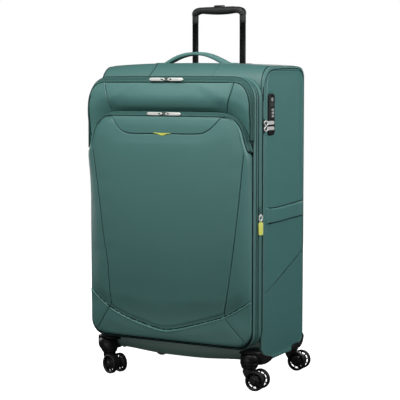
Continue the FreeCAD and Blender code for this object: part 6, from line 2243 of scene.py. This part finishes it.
# main pulls: bar in the lock and oval ring at the slider
for tag, zc, tilt in (("upper", 636.2, -0.22), ("lower", 623.0, 0.10)):
    out = [(-70.5, -2.0), (-69.0, -3.6), (-64.0, -4.3), (-36.0, -4.3), (-33.0, -3.6), (-31.4, -1.6), (-31.0, 0.0), (-31.4, 1.6), (-33.0, 3.6), (-36.0, 4.3), (-64.0, 4.3), (-69.0, 3.6), (-70.5, 2.0)]
    o = resample(np.array(out, float), 1.2, True)
    ob = plate("main_pull_bar_" + tag, [(a, zc + b) for a, b in o], None, 229.1, 231.5, M_METAL, "main_pull_" + tag, 0.7)
    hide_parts("main_zip_pull_" + tag)
    a = np.linspace(0, 2 * math.pi, 40, endpoint=False)
    cy, cz = -75.0, zc + (-0.6 if tag == "upper" else -0.4)
    ry, rz = 6.95, 5.5
    yy_, zz_ = ry * np.cos(a), rz * np.sin(a)
    p = np.column_stack([230.1 + 0.9 * np.cos(a), cy + yy_ * math.cos(tilt) - zz_ * math.sin(tilt), cz + yy_ * math.sin(tilt) + zz_ * math.cos(tilt)])
    v, f = tube(p, (1, 0, 0), 1.35, 10, closed=True)
    ob = make("main_pull_ring_" + tag, v, f, M_METAL, "main_pull_" + tag)


# ------------------------------------------------------------------ what the light and camera are set to
WORLD = 0.05
LIGHTS = [
    ("key", (0.10, -0.90, 1.38), (0.0, -0.14, 0.50), 0.8, 18.0, (1.0, 0.99, 0.975)),
    ("side", (1.6, 0.1, 1.15), (0.1, 0.0, 0.42), 0.8, 19.0, (0.985, 0.99, 1.0)),
    ("left", (-2.1, 0.1, 0.95), (-0.1, 0.0, 0.42), 1.1, 22.0),
    ("back", (-0.3, 2.3, 0.95), (0.0, 0.15, 0.42), 1.3, 24.0),
    ("floor_bounce", (-0.01, -0.36, 0.034), (-0.01, -0.085, 0.085), 0.42, 0.06, (1.0, 0.97, 0.95), 0.03, 80.0),
]
CAM_AT = (1520.0, -2804.5, 743.7)
CAM_AZ, CAM_PITCH = 28.256, 4.59
CAM_LENS, CAM_SHIFT = 115.0, -0.05


# ------------------------------------------------------------------ floor, light, camera
fl = bpy.data.meshes.new("floor")
seg = 96
fl.from_pydata([(6.0 * math.cos(a), 6.0 * math.sin(a), 0.0) for a in np.linspace(0, 2 * math.pi, seg, endpoint=False)], [], [tuple(range(seg))])
floor = bpy.data.objects.new("floor", fl)
bpy.context.scene.collection.objects.link(floor)
floor.visible_diffuse = False
floor.visible_glossy = False
t = Tree("floor_pale")
m = t.node("ShaderNodeVectorMath", operation="LENGTH")
t.link(t.tc.outputs["Object"], m.inputs[0])
fade = t.ramp(m.outputs["Value"], 1.0, 3.6)
t.val(t.bsdf.inputs["Base Color"], t.mix(t.noise(3.0, 2.0, 0.5), (0.84, 0.84, 0.84), (0.88, 0.88, 0.88)))
t.bsdf.inputs["Roughness"].default_value = 0.9
t.bsdf.inputs["Emission Color"].default_value = (1, 1, 1, 1)
t.bsdf.inputs["Emission Strength"].default_value = 0.96
t.bsdf.inputs["Specular IOR Level"].default_value = 0.1
clear = t.node("ShaderNodeBsdfTransparent")
blend = t.node("ShaderNodeMixShader")
t.link(fade, blend.inputs[0])
t.link(t.bsdf.outputs[0], blend.inputs[1])
t.link(clear.outputs[0], blend.inputs[2])
t.link(blend.outputs[0], t.out.inputs[0])
fl.materials.append(t.mat)
floor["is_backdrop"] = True

world = bpy.data.worlds.new("studio")
bpy.context.scene.world = world
world.use_nodes = True
wt = world.node_tree
wt.nodes.clear()
wo = wt.nodes.new("ShaderNodeOutputWorld")
bg_seen = wt.nodes.new("ShaderNodeBackground")
bg_seen.inputs[0].default_value = (1, 1, 1, 1)
bg_seen.inputs[1].default_value = 1.0
bg_light = wt.nodes.new("ShaderNodeBackground")
bg_light.inputs[0].default_value = (0.98, 0.99, 1.0, 1)
bg_light.inputs[1].default_value = WORLD
wm = wt.nodes.new("ShaderNodeMixShader")
lp = wt.nodes.new("ShaderNodeLightPath")
wt.links.new(lp.outputs["Is Camera Ray"], wm.inputs[0])
wt.links.new(bg_light.outputs[0], wm.inputs[1])
wt.links.new(bg_seen.outputs[0], wm.inputs[2])
wt.links.new(wm.outputs[0], wo.inputs[0])


def area(name, at, aim, size, power, colour=(1, 1, 1), size_y=None, spread=180.0):
    li = bpy.data.lights.new(name, "AREA")
    li.shape = "RECTANGLE"
    li.size, li.size_y = size, size_y or size
    li.energy = power
    li.color = colour
    li.spread = math.radians(spread)
    ob = bpy.data.objects.new(name, li)
    bpy.context.scene.collection.objects.link(ob)
    ob.location = at
    ob.rotation_euler = (Vector(aim) - Vector(at)).to_track_quat("-Z", "Y").to_euler()
    ob.visible_camera = False
    return ob


for spec in LIGHTS:
    area(*spec)

cam = bpy.data.cameras.new("camera")
cam.sensor_width = 36.0
cam.sensor_fit = "HORIZONTAL"
cam.lens = CAM_LENS
cam.shift_y = CAM_SHIFT
cam.clip_start, cam.clip_end = 0.05, 50.0
co = bpy.data.objects.new("camera", cam)
bpy.context.scene.collection.objects.link(co)
co.location = P(*CAM_AT)
co.rotation_euler = (math.radians(90.0 - CAM_PITCH), 0.0, math.radians(CAM_AZ))
bpy.context.scene.camera = co

bpy.context.scene.view_settings.view_transform = "Standard"
bpy.context.scene.view_settings.look = "None"
bpy.context.scene.view_settings.exposure = 0.0
bpy.context.scene.view_settings.gamma = 1.0

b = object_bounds()
